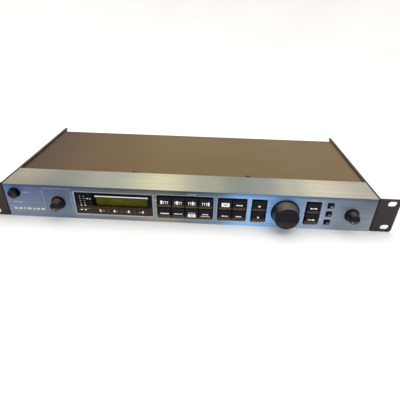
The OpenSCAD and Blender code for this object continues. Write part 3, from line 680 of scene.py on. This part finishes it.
def case():
    refined("front_panel", [ALUMINIUM_FACE, ALUMINIUM_STRIP, ALUMINIUM_EDGE, ALUMINIUM_CHAMFER], 0.12,
            pick=panel_finish, shape=chamfered)
    for node in ("left_side_plate", "right_side_plate"):
        refined(node, [EAR_PAINT, EAR_EDGE, BEND_SHADE, FLANGE_HIGHLIGHT], 0.25, pick=side_finish, edge=1)
    refined("top_cover", [COVER_PAINT, COVER_EDGE], edge=1)
    refined("rear_panel", [REAR_PAINT, EAR_EDGE], 0.15, edge=1)
    refined("bottom_plate", [ZINC])
    refined("front_rail", [ZINC])


# ---- Display ----

LCD_SPAN = Span("lcd_cell")
LCD_MARGIN = 2.5        # the cell's edge hidden under its frame at the sides
LCD_HIDDEN = 3          # and at the top and bottom
VIEW_X = LCD_SPAN.x
VIEW_W = LCD_SPAN.w - 2 * LCD_MARGIN
VIEW_Z0 = LCD_SPAN.z0 + LCD_HIDDEN
VIEW_Z1 = LCD_SPAN.z1 - LCD_HIDDEN
# The bright bar over the LCD is a painted highlight.
BAR_R = 0.95            # radius of the bright bar over the LCD
BAR_RISE = 1.7          # height of its middle over the LCD's upper edge
ICON_PITCH = 15.6       # distance between the icons under the LCD
SHEET_BACK = PANEL.y0 + 2.01    # depth just behind the face's sheet, where the window's rim starts


def display():
    front = WINDOW.y0
    # The mask is open around the LCD and the bright bar over it.
    low, high = VIEW_Z0 + 4.4, VIEW_Z1 + 6.2
    hole = (VIEW_X - 0.4, (low + high) / 2, VIEW_W + 4.6, high - low)
    width, height = WINDOW.w, WINDOW_RAISED
    bm = bmesh.new()
    loop_skin(bm, [
        rounded_rect(WINDOW.x, WINDOW.z, width - 0.5, height - 0.5, 0.5, front),
        rounded_rect(WINDOW.x, WINDOW.z, width, height, 0.7, front + 0.25),
        rounded_rect(WINDOW.x, WINDOW.z, width, height, 0.7, WINDOW.y1),
        rounded_rect(*hole, 0.4, WINDOW.y1),
        rounded_rect(*hole, 0.4, front),
    ])
    loop_skin(bm, [
        rounded_rect(WINDOW.x, WINDOW.z, width, WINDOW.h, 0.7, SHEET_BACK),
        rounded_rect(WINDOW.x, WINDOW.z, width, WINDOW.h, 0.7, WINDOW.y1),
        rounded_rect(WINDOW.x, WINDOW.z, width - 0.2, height - 1, 0.4, WINDOW.y1),
        rounded_rect(WINDOW.x, WINDOW.z, width - 0.2, height - 1, 0.4, SHEET_BACK),
    ])
    window_legends(bm, front - PRINT_PROUD)
    piece("display_window_mask", bm, [WINDOW_MASK, INK, GREY_INK], "display_window", ["display_window"])
    bm = bmesh.new()
    x, z, w, h = hole
    skin(bm, [rounded_rect(x, z, w - 0.04, h - 0.04, 0.4, y) for y in (front + 0.02, WINDOW.y1)])
    piece("display_window_pane", bm, [WINDOW_CLEAR], "display_window")
    lcd()


def window_legends(bm, y):
    """Pips beside the meter, and four icons of four pips under the LCD."""
    x0, z0 = WINDOW.x0, WINDOW.z
    for row in range(5):
        for x in (x0 + 6.1, x0 + 10.7):
            plate(bm, x + row * 0.15, z0 + 9.7 - row * 3.1, 1.7, 1.1, y, material=1 if row == 4 else 2)
    plate(bm, x0 + 14.9, z0 + 6.7, 2.8, 0.9, y, material=1)
    plate(bm, x0 + 18.3, z0 + 6.5, 1.2, 1.2, y, material=1)
    for x in (x0 + 6, x0 + 10.9):
        plate(bm, x, z0 - 8.9, 2.4, 1.4, y, material=1)
    plate(bm, x0 + 10.8, z0 - 6.9, 12, 0.3, y, material=2)
    for i in range(4):
        x = VIEW_X + (i - 1.5) * ICON_PITCH
        for j in range(4):
            w, h, up, material = (1.5, 3.6, 0.7, 1) if i == j else (0.8, 2.0, 0.3, 2)
            plate(bm, x + (j - 1.5) * 1.5, z0 - 9.9 + up, w, h, y, material=material)
        if i:
            plate(bm, x - ICON_PITCH / 2, z0 - 9.8, 0.35, 3.4, y, material=2)


def lcd():
    bm = bmesh.new()
    skin(bm, [rounded_rect(LCD_SPAN.x, LCD_SPAN.z, LCD_SPAN.w - 2 * i, LCD_SPAN.h - 2 * i, 0.4, y)
              for i, y in ((0.2, LCD_SPAN.y0), (0, LCD_SPAN.y0 + 0.2), (0, LCD_SPAN.y1))])
    piece("lcd_glass", bm, [LCD], "lcd_cell", ["lcd_cell"])
    refined("lcd_frame", [FRAME_PLASTIC], 0.12)
    # The moulded bar along the top of the frame's lip has a thicker end on each side; it is near-white
    # and glows faintly, a painted highlight.
    lip = Span("lcd_frame").y0
    bm = bmesh.new()
    sections = [(-0.5, 0.5), (-0.49, 0.95), (-0.478, 1.1), (-0.46, 1.1), (-0.44, 0.8), (0.44, 0.8),
                (0.46, 1.1), (0.478, 1.1), (0.49, 0.95), (0.5, 0.5)]
    turns = [math.pi * i / 8 for i in range(9)]
    skin(bm, [[Vector((VIEW_X + share * (VIEW_W + 3.4), lip + 0.1 - BAR_R * 0.7 * size * math.sin(a),
                       VIEW_Z1 + BAR_RISE + BAR_R * size * math.cos(a))) for a in turns]
              for share, size in sections])
    piece("lcd_top_bar", bm, [GLOWING_BAR_HIGHLIGHT], "lcd_frame")
    refined("led_array", [LAMP], 0.15)


# ---- Face print ----

def face_print():
    """Thin frames around the groups of controls, ticks, and bars in place of words."""
    y = FACE_Y - PRINT_PROUD
    bm = bmesh.new()
    groups = [(Span("select_key_1"), Span("function_key_4")), (Span("menu_key_1"), Span("menu_key_4")),
              (Span("up_key"), Span("down_key")), (Span("enter_key"), Span("exit_key"))]
    for first, last in groups:
        x0, x1 = min(first.x0, last.x0), max(first.x1, last.x1)
        z0, z1 = min(first.z0, last.z0), max(first.z1, last.z1)
        w, h = x1 - x0 + 5.2, z1 - z0 + 5.2
        frame_line(bm, (x0 + x1) / 2, (z0 + z1) / 2, w, h, 1.6, 0.3, y)
    frame_line(bm, WINDOW.x, WINDOW.z, WINDOW.w + 3.2, WINDOW_RAISED + 3.2, 1.9, 0.45, y)
    for node, name in (("input_knob", "input"), ("output_knob", "output")):
        knob = Span(node)
        for i in range(11):
            a = math.radians(240 - 30 * i)
            r = 10.6
            tick(bm, knob.x + r * math.cos(a), knob.z + r * math.sin(a), a, 1.4 if i % 5 else 2.0, y)
    knob = Span("input_knob")
    for x in (knob.x - 17.5, knob.x + 16):
        plate(bm, x, knob.z + 3, 0.3, 26, y)
    plate(bm, knob.x - 0.75, knob.z + 18.6, 33.5, 0.3, y)
    power = Span("power_button")
    for i in range(4):
        plate(bm, power.x + 9.4 + 2.3 * i, power.z, 1.6, 0.7, y)
    badge(bm, y)
    band_x = (WINDOW.x1 + Span("select_key_1").x0) / 2
    plate(bm, band_x, WINDOW.z + 8.5, 2.0, 1.6, y)
    plate(bm, band_x - 1.8, WINDOW.z1 - 0.9, 2.2, 0.9, y)
    for i in range(3):
        button = Span(f"small_button_{i + 1}")
        for j in range(2):
            plate(bm, button.x - 1.2 + 2.4 * j, button.z - 4.6, 1.7, 0.8, y)
    for node, words in (("select_key_3", (3.4, 2.2, 4.2)), ("enter_key", (2.4, 3.2))):
        key = Span(node)
        start = key.x - sum(words) / 2
        for word in words:
            plate(bm, start + word / 2, key.z1 + 3.9, word - 0.5, 0.8, y)
            start += word
    piece("face_print", bm, [PALE_INK, BADGE_SILVER], "front_panel")


def tick(bm, x, z, angle, length, y):
    """A short radial line that points away from a knob."""
    along_x, along_z = math.cos(angle), math.sin(angle)
    corners = [Vector((x + along_x * u * length / 2 - along_z * v * 0.17, y + d,
                       z + along_z * u * length / 2 + along_x * v * 0.17))
               for d in (0, PRINT_ROOT) for u, v in ((1, 1), (-1, 1), (-1, -1), (1, -1))]
    skin(bm, [corners[:4], corners[4:]])


def badge(bm, y):
    """Plain bars at the lower left, in place of the maker's and the model's names."""
    x = Span("power_button").x
    for i, w in enumerate((3.0, 2.0, 4.0)):
        plate(bm, x - 2.2 + 3.6 * i, PANEL.z - 2.4, w, 1.1, y)
    start = x - 5.6
    for w in (3.4, 4.8, 2.2, 5.6, 2.6, 4.0, 4.2):
        plate(bm, start + w / 2, PANEL.z - 11, w, 2.8, y, r=0.5, material=1)
        start += w + 1.7


# ---- Keys ----

CROWN = 0.14            # how far a key's face bulges
CAP_BACK = 0.8          # depth of the back of the caps, where their necks start
KEY_NECK = (9, 8)       # width and height of a neck
SMALL_NECK = (3.5, 3.5)


def cap(bm, key, neck_w, neck_h, back, side):
    """A key from the back of its neck to a rounded, slightly domed cap; side is its flanks' material."""
    x, z, w, h = key.x, key.z, key.w, key.h
    front = key.y0
    corner = 0.7 if w > 10 else 0.5
    edge = 0.55 if w > 10 else 0.4
    loops = [rounded_rect(x, z, neck_w - 0.4, neck_h - 0.4, 0.5, key.y1),
             rounded_rect(x, z, neck_w, neck_h, 0.6, key.y1 - 0.3),
             rounded_rect(x, z, neck_w, neck_h, 0.6, back),
             rounded_rect(x, z, w - 0.2, h - 0.2, corner, back),
             rounded_rect(x, z, w, h, corner, back - 0.15)]
    for i in range(5):
        a = math.radians(22.5 * i)
        inset = edge * (1 - math.cos(a))
        loops.append(rounded_rect(x, z, w - 2 * inset, h - 2 * inset, corner,
                                  front + CROWN + edge * (1 - math.sin(a))))
    for share in (0.85, 0.65, 0.4, 0.15):
        inset = edge + (1 - share) * (min(w, h) / 2 - edge)
        loops.append(rounded_rect(x, z, w - 2 * inset, h - 2 * inset, corner * share,
                                  front + CROWN * share ** 2))
    before = set(bm.faces)
    skin(bm, loops)
    for f in set(bm.faces) - before:
        f.normal_update()
        if abs(f.normal.y) < 0.9:
            f.material_index = side


def key_pieces():
    for node, legend in LEGENDS.items():
        key = Span(node)
        bm = bmesh.new()
        # The flanks take the near-black material that paints the shade in the gaps.
        cap(bm, key, *KEY_NECK, CAP_BACK, 3)
        legend(bm, key.x, key.z, key.y0 - PRINT_PROUD / 2)
        moving(node, bm, [KEY_BLACK, INK, GREY_INK, KNOB_SHADE_BLACK])
    for i in range(1, 4):
        node = f"small_button_{i}"
        bm = bmesh.new()
        button = Span(node)
        cap(bm, button, *SMALL_NECK, CAP_BACK, 2)
        # A brown square on the button's face: a painted reflection.
        plate(bm, button.x + 0.3, button.z - 0.5, 2.6, 2.6, button.y0 - PRINT_PROUD, r=0.4, material=1)
        moving(node, bm, [SMALL_KEY_BLACK, SMALL_KEY_GLINT, KNOB_SHADE_BLACK])


def pips(chosen):
    """Four upright pips, the chosen one larger and solid."""
    def draw(bm, x, z, y):
        for i in range(4):
            px = x + (i - 1.5) * 2.35
            if i == chosen:
                plate(bm, px, z - 0.3, 2.2, 5.0, y, material=1)
            else:
                plate(bm, px, z + 0.6, 1.5, 1.5, y, material=1)
                plate(bm, px, z - 1.4, 0.6, 2.2, y, material=1)
    return draw


def dashes(*rows):
    """Rows of dashes: each row has its height over the key's middle, its thickness and its lengths."""
    def draw(bm, x, z, y):
        for up, thick, lengths in rows:
            start = x - (sum(lengths) + 0.5 * (len(lengths) - 1)) / 2
            for length in lengths:
                plate(bm, start + length / 2, z + up, length, thick, y, material=1)
                start += length + 0.5
    return draw


def label(up, w, h, above=None):
    """A filled white label with two grey bars on it, and perhaps a row of dashes above it."""
    def draw(bm, x, z, y):
        plate(bm, x, z + up, w, h, y, r=0.35, material=1)
        for i, share in enumerate((0.6, 0.46)):
            plate(bm, x, z + up + (0.5 - i) * h * 0.34, w * share, h * 0.17, y - PRINT_PROUD / 2,
                  material=2)
        if above:
            dashes(above)(bm, x, z, y)
    return draw


LEGENDS = {f"select_key_{i + 1}": pips(i) for i in range(4)}
LEGENDS.update({
    "function_key_1": dashes((-1.0, 1.2, (10.4,))),
    "function_key_2": dashes((-0.9, 1.0, (5.8, 3.6))),
    "function_key_3": label(-2.5, 9.2, 4.2, (1.2, 0.6, (2.2, 2.6, 2.2))),
    "function_key_4": dashes((-0.2, 1.1, (3.8, 2.8)), (-2.8, 0.6, (10.6,))),
    "menu_key_1": label(-0.2, 9.2, 5.2),
    "menu_key_2": dashes((-0.2, 1.2, (4.4, 3.0))),
    "menu_key_3": dashes((-1.1, 1.2, (3.2, 2.0, 1.4))),
    "menu_key_4": dashes((-1.0, 1.2, (7.0,))),
    "up_key": dashes((-0.4, 1.9, (2.7,))),
    "down_key": dashes((-1.0, 2.2, (2.3,))),
    "enter_key": dashes((-0.1, 1.6, (2.4, 1.6, 2.8))),
    "exit_key": dashes((-1.0, 1.6, (2.0, 1.6, 3.2))),
})


# ---- Knobs ----

SHAFT_ROOM = 6.2        # radius of the recess in a knob's base


def arc(radius, inner, outer, steps, start=0):
    """Outline points of a rounded outer edge: radius and distance of the centre are inner, outer."""
    turns = [math.radians(start + (90 - start) * i / steps) for i in range(steps + 1)]
    return [(inner + radius * math.cos(a), outer + radius * math.sin(a)) for a in turns]


def level_knob(node, side):
    """A thin skirt, a short cone and a slightly tapered grip with a dished front and a pointer."""
    knob = Span(node)
    r, length = knob.w / 2, knob.d
    grip, tip = r - 1.9, r - 2.3
    outline = [(0.4, 0.6), (SHAFT_ROOM, 0.6), (SHAFT_ROOM, 0), (r - 0.3, 0), (r, 0.3)]
    outline += arc(0.4, r - 0.4, 1.0, 4)
    outline += [(grip + 0.5, 2.2), (grip + 0.12, 2.8), (grip, 3.4)]
    outline += arc(0.8, tip - 0.8, length - 0.8, 6)
    outline += [(tip - 1.3, length), (tip - 1.7, length - 0.18), (1.5, length - 0.34),
                (0.1, length - 0.36)]
    bm = bmesh.new()
    turned(bm, knob.x, knob.z, knob.y1, outline, 96, [(2.3, 1), (length - 0.5, 2)])
    a = math.radians(240)
    inlay(bm, knob.x, knob.z, a, tip - 3.2, tip + 0.02, 0.95, knob.y0 + 0.05, 2.4)
    moving(node, bm, [KNOB_SHADE_BLACK, side, LEVEL_FACE, KNOB_MARK])


def inlay(bm, x, z, angle, start, stop, width, front, depth):
    """A coloured bar that runs outwards over a knob's front and down its side."""
    u = Vector((math.cos(angle), 0, math.sin(angle)))
    v = Vector((-math.sin(angle), 0, math.cos(angle)))
    centre = Vector((x, 0, z))
    profile = [(start, front), (stop - 0.75, front), (stop - 0.22, front + 0.25), (stop, front + 0.8),
               (stop, front + depth), (start, front + depth)]
    loops = [[centre + u * r + v * side * width / 2 + Vector((0, y, 0)) for r, y in profile]
             for side in (-1, 1)]
    skin(bm, loops, 3)


def dial():
    """A large dial whose smooth side curves in to a rounded edge and a shallow dish."""
    knob = Span("data_dial")
    r, length = knob.w / 2, knob.d
    outline = [(0.4, 0.6), (8, 0.6), (8, 0), (r - 0.4, 0), (r, 0.4), (r, 1.2)]
    outline += [(r - 2.6 * math.sin(math.radians(5 * i)),
                 1.2 + (length - 3) * (1 - math.cos(math.radians(5 * i)))) for i in range(1, 18)]
    outline += arc(1.8, r - 4.4, length - 1.8, 8, 10)
    outline += [(r - 5.2, length), (r - 5.8, length - 0.2), (r - 7, length - 0.42),
                (4, length - 0.6), (0.2, length - 0.62)]
    bm = bmesh.new()
    turned(bm, knob.x, knob.z, knob.y1, outline, 128, [(2.2, 1), (length - 0.8, 2)])
    moving("data_dial", bm, [KNOB_SHADE_BLACK, DIAL_SIDE, DIAL_FACE])


def power_button():
    span = Span("power_button")
    r, stem = span.w / 2, 2.0
    length = span.d
    shoulder = span.y1 - 3.0
    outline = [(stem - 0.3, 0), (stem, 0.3), (stem, shoulder), (r - 0.3, shoulder), (r, shoulder + 0.3)]
    outline += arc(0.7, r - 0.7, length - 0.7, 5)
    outline += [(r - 1.3, length), (r - 1.8, length - 0.25), (0.1, length - 0.55)]
    bm = bmesh.new()
    turned(bm, span.x, span.z, span.y1, outline, 72, [(length - 5.2, 1), (length - 0.6, 2)])
    moving("power_button", bm, [KNOB_SHADE_BLACK, POWER_SIDE, POWER_FACE])


def controls():
    level_knob("input_knob", INPUT_SIDE)
    level_knob("output_knob", OUTPUT_SIDE)
    dial()
    power_button()
    for node in ("input_shaft", "output_shaft", "dial_shaft"):
        refined(node, [BARE_ALUMINIUM])
    refined("bush_nuts", [NICKEL])


# ---- Inside ----

SWITCH_LOW = 4.5        # height where the mains switch's body ends and its bracket starts
TAGS_Y = (23, 25.5)     # depth of the switch's tags, which stay plastic like its body
CORE_HALF_D = 7.6       # half the depth of the transformer's core
COIL_HALF_W = 15.4      # and half the width of the coil where it shows through the core
BLUE_WIRE_END = 138     # depth that only the brown wire's cross-over lies behind


def inside():
    for node, material in (("front_board", MASK_GREEN), ("main_board", MASK_GREEN),
                           ("power_board", MASK_TAN), ("tact_switches", PLASTIC),
                           ("key_frame", FRAME_PLASTIC), ("level_pots", ZINC), ("dial_encoder", ZINC),
                           ("board_chips", CHIP), ("heat_sink", BARE_ALUMINIUM),
                           ("board_standoffs", BRASS), ("ribbon_cable", RIBBON)):
        refined(node, [material], 0.1)
    refined("power_switch", [PLASTIC, ZINC], 0.12,
            pick=lambda f: int(middle_of(f).z < SWITCH_LOW
                               and not TAGS_Y[0] < middle_of(f).y < TAGS_Y[1]))
    core = Span("transformer")
    refined("transformer", [CORE, TAPE], 0.15,
            pick=lambda f: int(abs(middle_of(f).y - core.y) > CORE_HALF_D
                               or abs(middle_of(f).x - core.x) < COIL_HALF_W))
    refined("capacitors", [SLEEVE, BARE_ALUMINIUM], 0.4, pick=lambda f: int(f.normal.z > 0.9))
    wires = Span("mains_wires")
    refined("mains_wires", [WIRE_BROWN, WIRE_BLUE], 0.1,
            pick=lambda f: int(middle_of(f).x > wires.x and middle_of(f).y < BLUE_WIRE_END))


# ---- Sockets ----

CONTROL_Z = Span("data_dial").z     # the rear sockets are as high as the dial
RCA_HALF_PITCH = 8                  # half the distance between the two phono sockets
MIDI_PIN_R = 4                      # radius of the circle that the five contacts lie on
MIDI_DEPTH = 7.8                    # how far the contacts and the sleeve reach in from the face


def sockets():
    for node, material, width in (("mains_inlet", PLASTIC, 0.3), ("inlet_pins", NICKEL, 0.25),
                                  ("midi_sockets", PLASTIC, 0.15), ("rca_sockets", NICKEL, 0.15),
                                  ("jack_sockets", PLASTIC, 0.15), ("socket_nuts", NICKEL, 0.2)):
        refined(node, [material], width)
    for row, (x, z, face) in enumerate(midi_places()):
        bm = bmesh.new()
        tube(bm, x, z, 6.7, 6.45, face - MIDI_DEPTH, face - 0.3)
        for i in range(5):
            a = math.radians(45 * i)
            tube(bm, x + MIDI_PIN_R * math.cos(a), z - 1 + MIDI_PIN_R * math.sin(a), 0.78, 0.5,
                 face - MIDI_DEPTH, face - 0.5, 16, 1)
        piece(f"midi_contacts_{row + 1}", bm, [NICKEL, BRASS], "midi_sockets")
    span = Span("rca_sockets")
    bm = bmesh.new()
    for side, material in ((-1, 0), (1, 1)):
        x = span.x + side * RCA_HALF_PITCH
        tube(bm, x, CONTROL_Z, 3.3, 1.7, span.y1 - 0.5, span.y1 + 0.15, 40, material)
        tube(bm, x, CONTROL_Z, 5.3, 4.16, REAR_Y, REAR_Y + 0.9, 48, material)
    piece("rca_insulators", bm, [WHITE_PLASTIC, RED_PLASTIC], "rca_sockets")
    bm = bmesh.new()
    for x in jack_places():
        tube(bm, x, CONTROL_Z, 7.6, 4.56, REAR_Y - 0.02, REAR_Y + 0.35, 48)
    piece("jack_washers", bm, [NICKEL], "socket_nuts")
    rear_print()
    screws()


def centres(node, axis=0):
    """Middles of a node's separate solids along an axis, in millimetres, in rising order."""
    return sorted(sum(ends) / 2 for ends in ((low[axis], high[axis]) for low, high in solids(node)))


def solids(node):
    """Boxes of a node's separate solids, in millimetres."""
    bm = bmesh.new()
    bm.from_mesh(frame["nodes"][node].data)
    bmesh.ops.remove_doubles(bm, verts=bm.verts, dist=2e-6)
    left = set(bm.verts)
    boxes = []
    while left:
        reached = [left.pop()]
        for v in reached:
            for e in v.link_edges:
                other = e.other_vert(v)
                if other in left:
                    left.remove(other)
                    reached.append(other)
        boxes.append(tuple(Vector(pick(v.co[i] for v in reached) for i in range(3)) / MM
                           for pick in (min, max)))
    bm.free()
    return sorted(boxes, key=lambda box: tuple(round(c, 3) for c in box[0]))


def jack_places():
    return centres("socket_nuts")


def midi_places():
    """x and z of each five-pin socket's middle, and the depth of its face."""
    face = Span("midi_sockets").y1
    return [(x, CONTROL_Z, face) for x in centres("midi_sockets")]


def tube(bm, x, z, outer, inner, y0, y1, count=48, material=0):
    """A ring-shaped solid along Y."""
    loop_skin(bm, [ring(x, z, r, y, count) for r, y in
                   ((outer, y0), (outer, y1), (inner, y1), (inner, y0))], material)


def rear_print():
    """Bars in place of the words beside the rear sockets, and lines that group them."""
    y = REAR_Y + PRINT_PROUD
    bm = bmesh.new()

    def words(x, z, lengths, thick=0.9):
        start = x - (sum(lengths) + 0.7 * (len(lengths) - 1)) / 2
        for length in lengths:
            plate(bm, start + length / 2, z, length, thick, y, root=-PRINT_ROOT)
            start += length + 0.7

    for i, x in enumerate(jack_places()):
        words(x, CONTROL_Z + 11.2, ((5.2,), (2.6, 3.4), (3.0, 2.2), (3.4, 2.2), (2.4, 4.0))[i])
    for i, (x, z, _) in enumerate(midi_places()):
        words(x, z + 11.2, ((2.4,), (3.8,), (4.6,))[i])
    for x in centres("rca_sockets"):
        words(x, CONTROL_Z + 8.2, (2.2, 1.6))
    inlet = Span("mains_inlet")
    words(inlet.x1 + 16, CONTROL_Z + 3, (6.0, 4.2, 5.0), 1.2)
    words(inlet.x1 + 16, CONTROL_Z, (4.0, 7.0))
    words(inlet.x1 + 16, CONTROL_Z - 3, (5.0, 3.0, 2.4))
    for group in (jack_places()[1:3], jack_places()[3:], [p[0] for p in midi_places()],
                  centres("rca_sockets")):
        x0, x1 = group[0] - 8.4, group[-1] + 8.4
        middle = (x0 + x1) / 2
        words(middle, CONTROL_Z - 13.2, (x1 - x0,), 0.35)
        words(middle, CONTROL_Z - 11.4, (6.4, 4.4))
    piece("rear_print", bm, [PALE_INK], "rear_panel")


HEAD_H = 1.6            # height and radius of a screw's head, and radius of its shank
HEAD_R = 2.75
SHANK_R = 1.45


def screws():
    """Pan-head screws with a cross recess, in the places of the CAD's."""
    bm = bmesh.new()
    for low, high in solids("m3_screws"):
        size = high - low
        axis = max(range(3), key=lambda i: size[i])
        middle = (low + high) / 2
        # Heads face up or to the rear, except on the left side plate.
        out = -1 if axis == 0 and middle.x < 0 else 1
        seat = middle.copy()
        seat[axis] = (high[axis] - HEAD_H) if out > 0 else (low[axis] + HEAD_H)
        screw(bm, seat, axis, out, size[axis] - HEAD_H)
    piece("m3_screws_body", bm, [SCREW_BLACK], "m3_screws", ["m3_screws"])
    inlet = Span("mains_inlet")
    bm = bmesh.new()
    for side in (-1, 1):
        screw(bm, Vector((inlet.x + side * 19.8, inlet.y1 - 1.1, inlet.z)), 1, 1, 6)
    piece("inlet_screws", bm, [SCREW_BLACK], "mains_inlet")


def screw(bm, seat, axis, out, length):
    """One screw whose head's seat is at a place, with its head towards out along an axis."""
    w = Vector([out if i == axis else 0 for i in range(3)])
    u = Vector([1 if i == (axis + 1) % 3 else 0 for i in range(3)])
    v = w.cross(u)
    arm, half = 1.4, 0.34
    corner = math.degrees(math.atan(half / arm))
    middle = (corner + 45) / 2
    turns = [math.radians(90 * quarter + a) for quarter in range(4)
             for a in (0, corner, middle, 45, 90 - middle, 90 - corner)]

    def loop(radius, height):
        return [seat + u * (r := radius(a)) * math.cos(a) + v * r * math.sin(a) + w * height
                for a in turns]

    def cross(share):
        def radius(a):
            near, far = sorted((abs(math.cos(a)), abs(math.sin(a))))
            return share * (arm / far if near < 1e-6 else min(arm / far, half / near))
        return radius

    outline = [(0.4, -length), (1.15, -length), (SHANK_R, -length + 0.4), (SHANK_R, 0),
               (HEAD_R - 0.15, 0), (HEAD_R, 0.15), (HEAD_R, 0.6), (HEAD_R - 0.25, 1.1),
               (HEAD_R - 0.75, 1.45), (1.7, HEAD_H)]
    loops = [loop(lambda a, r=r: r, h) for r, h in outline]
    loops += [loop(cross(share), HEAD_H - down) for share, down in ((1, 0), (0.8, 0.45), (0.5, 0.9))]
    skin(bm, loops)


# ---- Stage ----

FLOOR_GAP = 0.05        # keeps the floor off the bottom plate


def stage():
    """A pale floor that curves up into a wall all round, far from the unit."""
    flat, curve, top, rings, sides = 1700, 800, 1900, 10, 96
    outline = [(0.1, 0), (flat / 2, 0), (flat, 0)]
    for i in range(1, rings + 1):
        a = math.radians(90 * i / rings)
        outline.append((flat + curve * math.sin(a), curve * (1 - math.cos(a))))
    outline.append((flat + curve, top))
    floor_z = CASE_LOW.z - FLOOR_GAP
    turns = [2 * math.pi * i / sides for i in range(sides)]
    bm = bmesh.new()
    skin(bm, [[Vector((r * math.cos(a), r * math.sin(a), floor_z + up)) for a in turns]
              for r, up in outline], caps=(True, False))
    bmesh.ops.recalc_face_normals(bm, faces=bm.faces)
    bmesh.ops.reverse_faces(bm, faces=bm.faces)
    bmesh.ops.scale(bm, vec=(MM, MM, MM), verts=bm.verts)
    mesh = bpy.data.meshes.new("floor")
    bm.to_mesh(mesh)
    bm.free()
    mesh.shade_smooth()
    mesh.materials.append(finish("floor_paper", (240, 239, 237), (245, 244, 243), (0.6, 0.7), 2.0,
                                 0.01, 400))
    floor = bpy.data.objects.new("floor", mesh)
    bpy.context.scene.collection.objects.link(floor)


def lamp(name, place, aim, size, power, colour):
    light = bpy.data.lights.new(name, "AREA")
    light.shape = "RECTANGLE"
    light.size, light.size_y = size
    light.energy = power
    light.color = colour
    obj = bpy.data.objects.new(name, light)
    obj.location = place
    obj.rotation_euler = (Vector(aim) - Vector(place)).to_track_quat("-Z", "Y").to_euler()
    obj.visible_camera = False
    bpy.context.scene.collection.objects.link(obj)


def lights():
    world = bpy.data.worlds.new("studio")
    bpy.context.scene.world = world
    world.use_nodes = True
    background = world.node_tree.nodes["Background"]
    background.inputs["Color"].default_value = (0.97, 0.98, 1.0, 1)
    background.inputs["Strength"].default_value = 0.75
    lamp("overhead", (0.2, 0.3, 1.75), (0, 0.05, 0), (2.4, 1.6), 24, (1.0, 0.98, 0.95))
    lamp("back_band", (0.1, 1.75, 1.15), (0, 0.1, 0), (3.0, 0.6), 6, (1.0, 0.88, 0.7))
    lamp("front_left", (-1.0, -1.3, 1.1), (0, 0, 0), (1.0, 1.0), 5, (0.9, 0.95, 1.0))
    bpy.context.scene.view_settings.view_transform = "Standard"


def camera():
    data = bpy.data.cameras.new("camera")
    data.sensor_width = 36
    data.lens = 29.85
    data.clip_start = 0.01
    obj = bpy.data.objects.new("camera", data)
    turn = (Matrix.Rotation(math.radians(1.703), 4, "Z")
            @ Matrix.Rotation(math.radians(90 - 31.06), 4, "X")
            @ Matrix.Rotation(math.radians(1.611), 4, "Z"))
    obj.matrix_world = Matrix.Translation((0.02376, -0.33029, 0.20868)) @ turn
    bpy.context.scene.collection.objects.link(obj)
    bpy.context.scene.camera = obj


camera()
case()
display()
face_print()
key_pieces()
controls()
inside()
sockets()
stage()
lights()
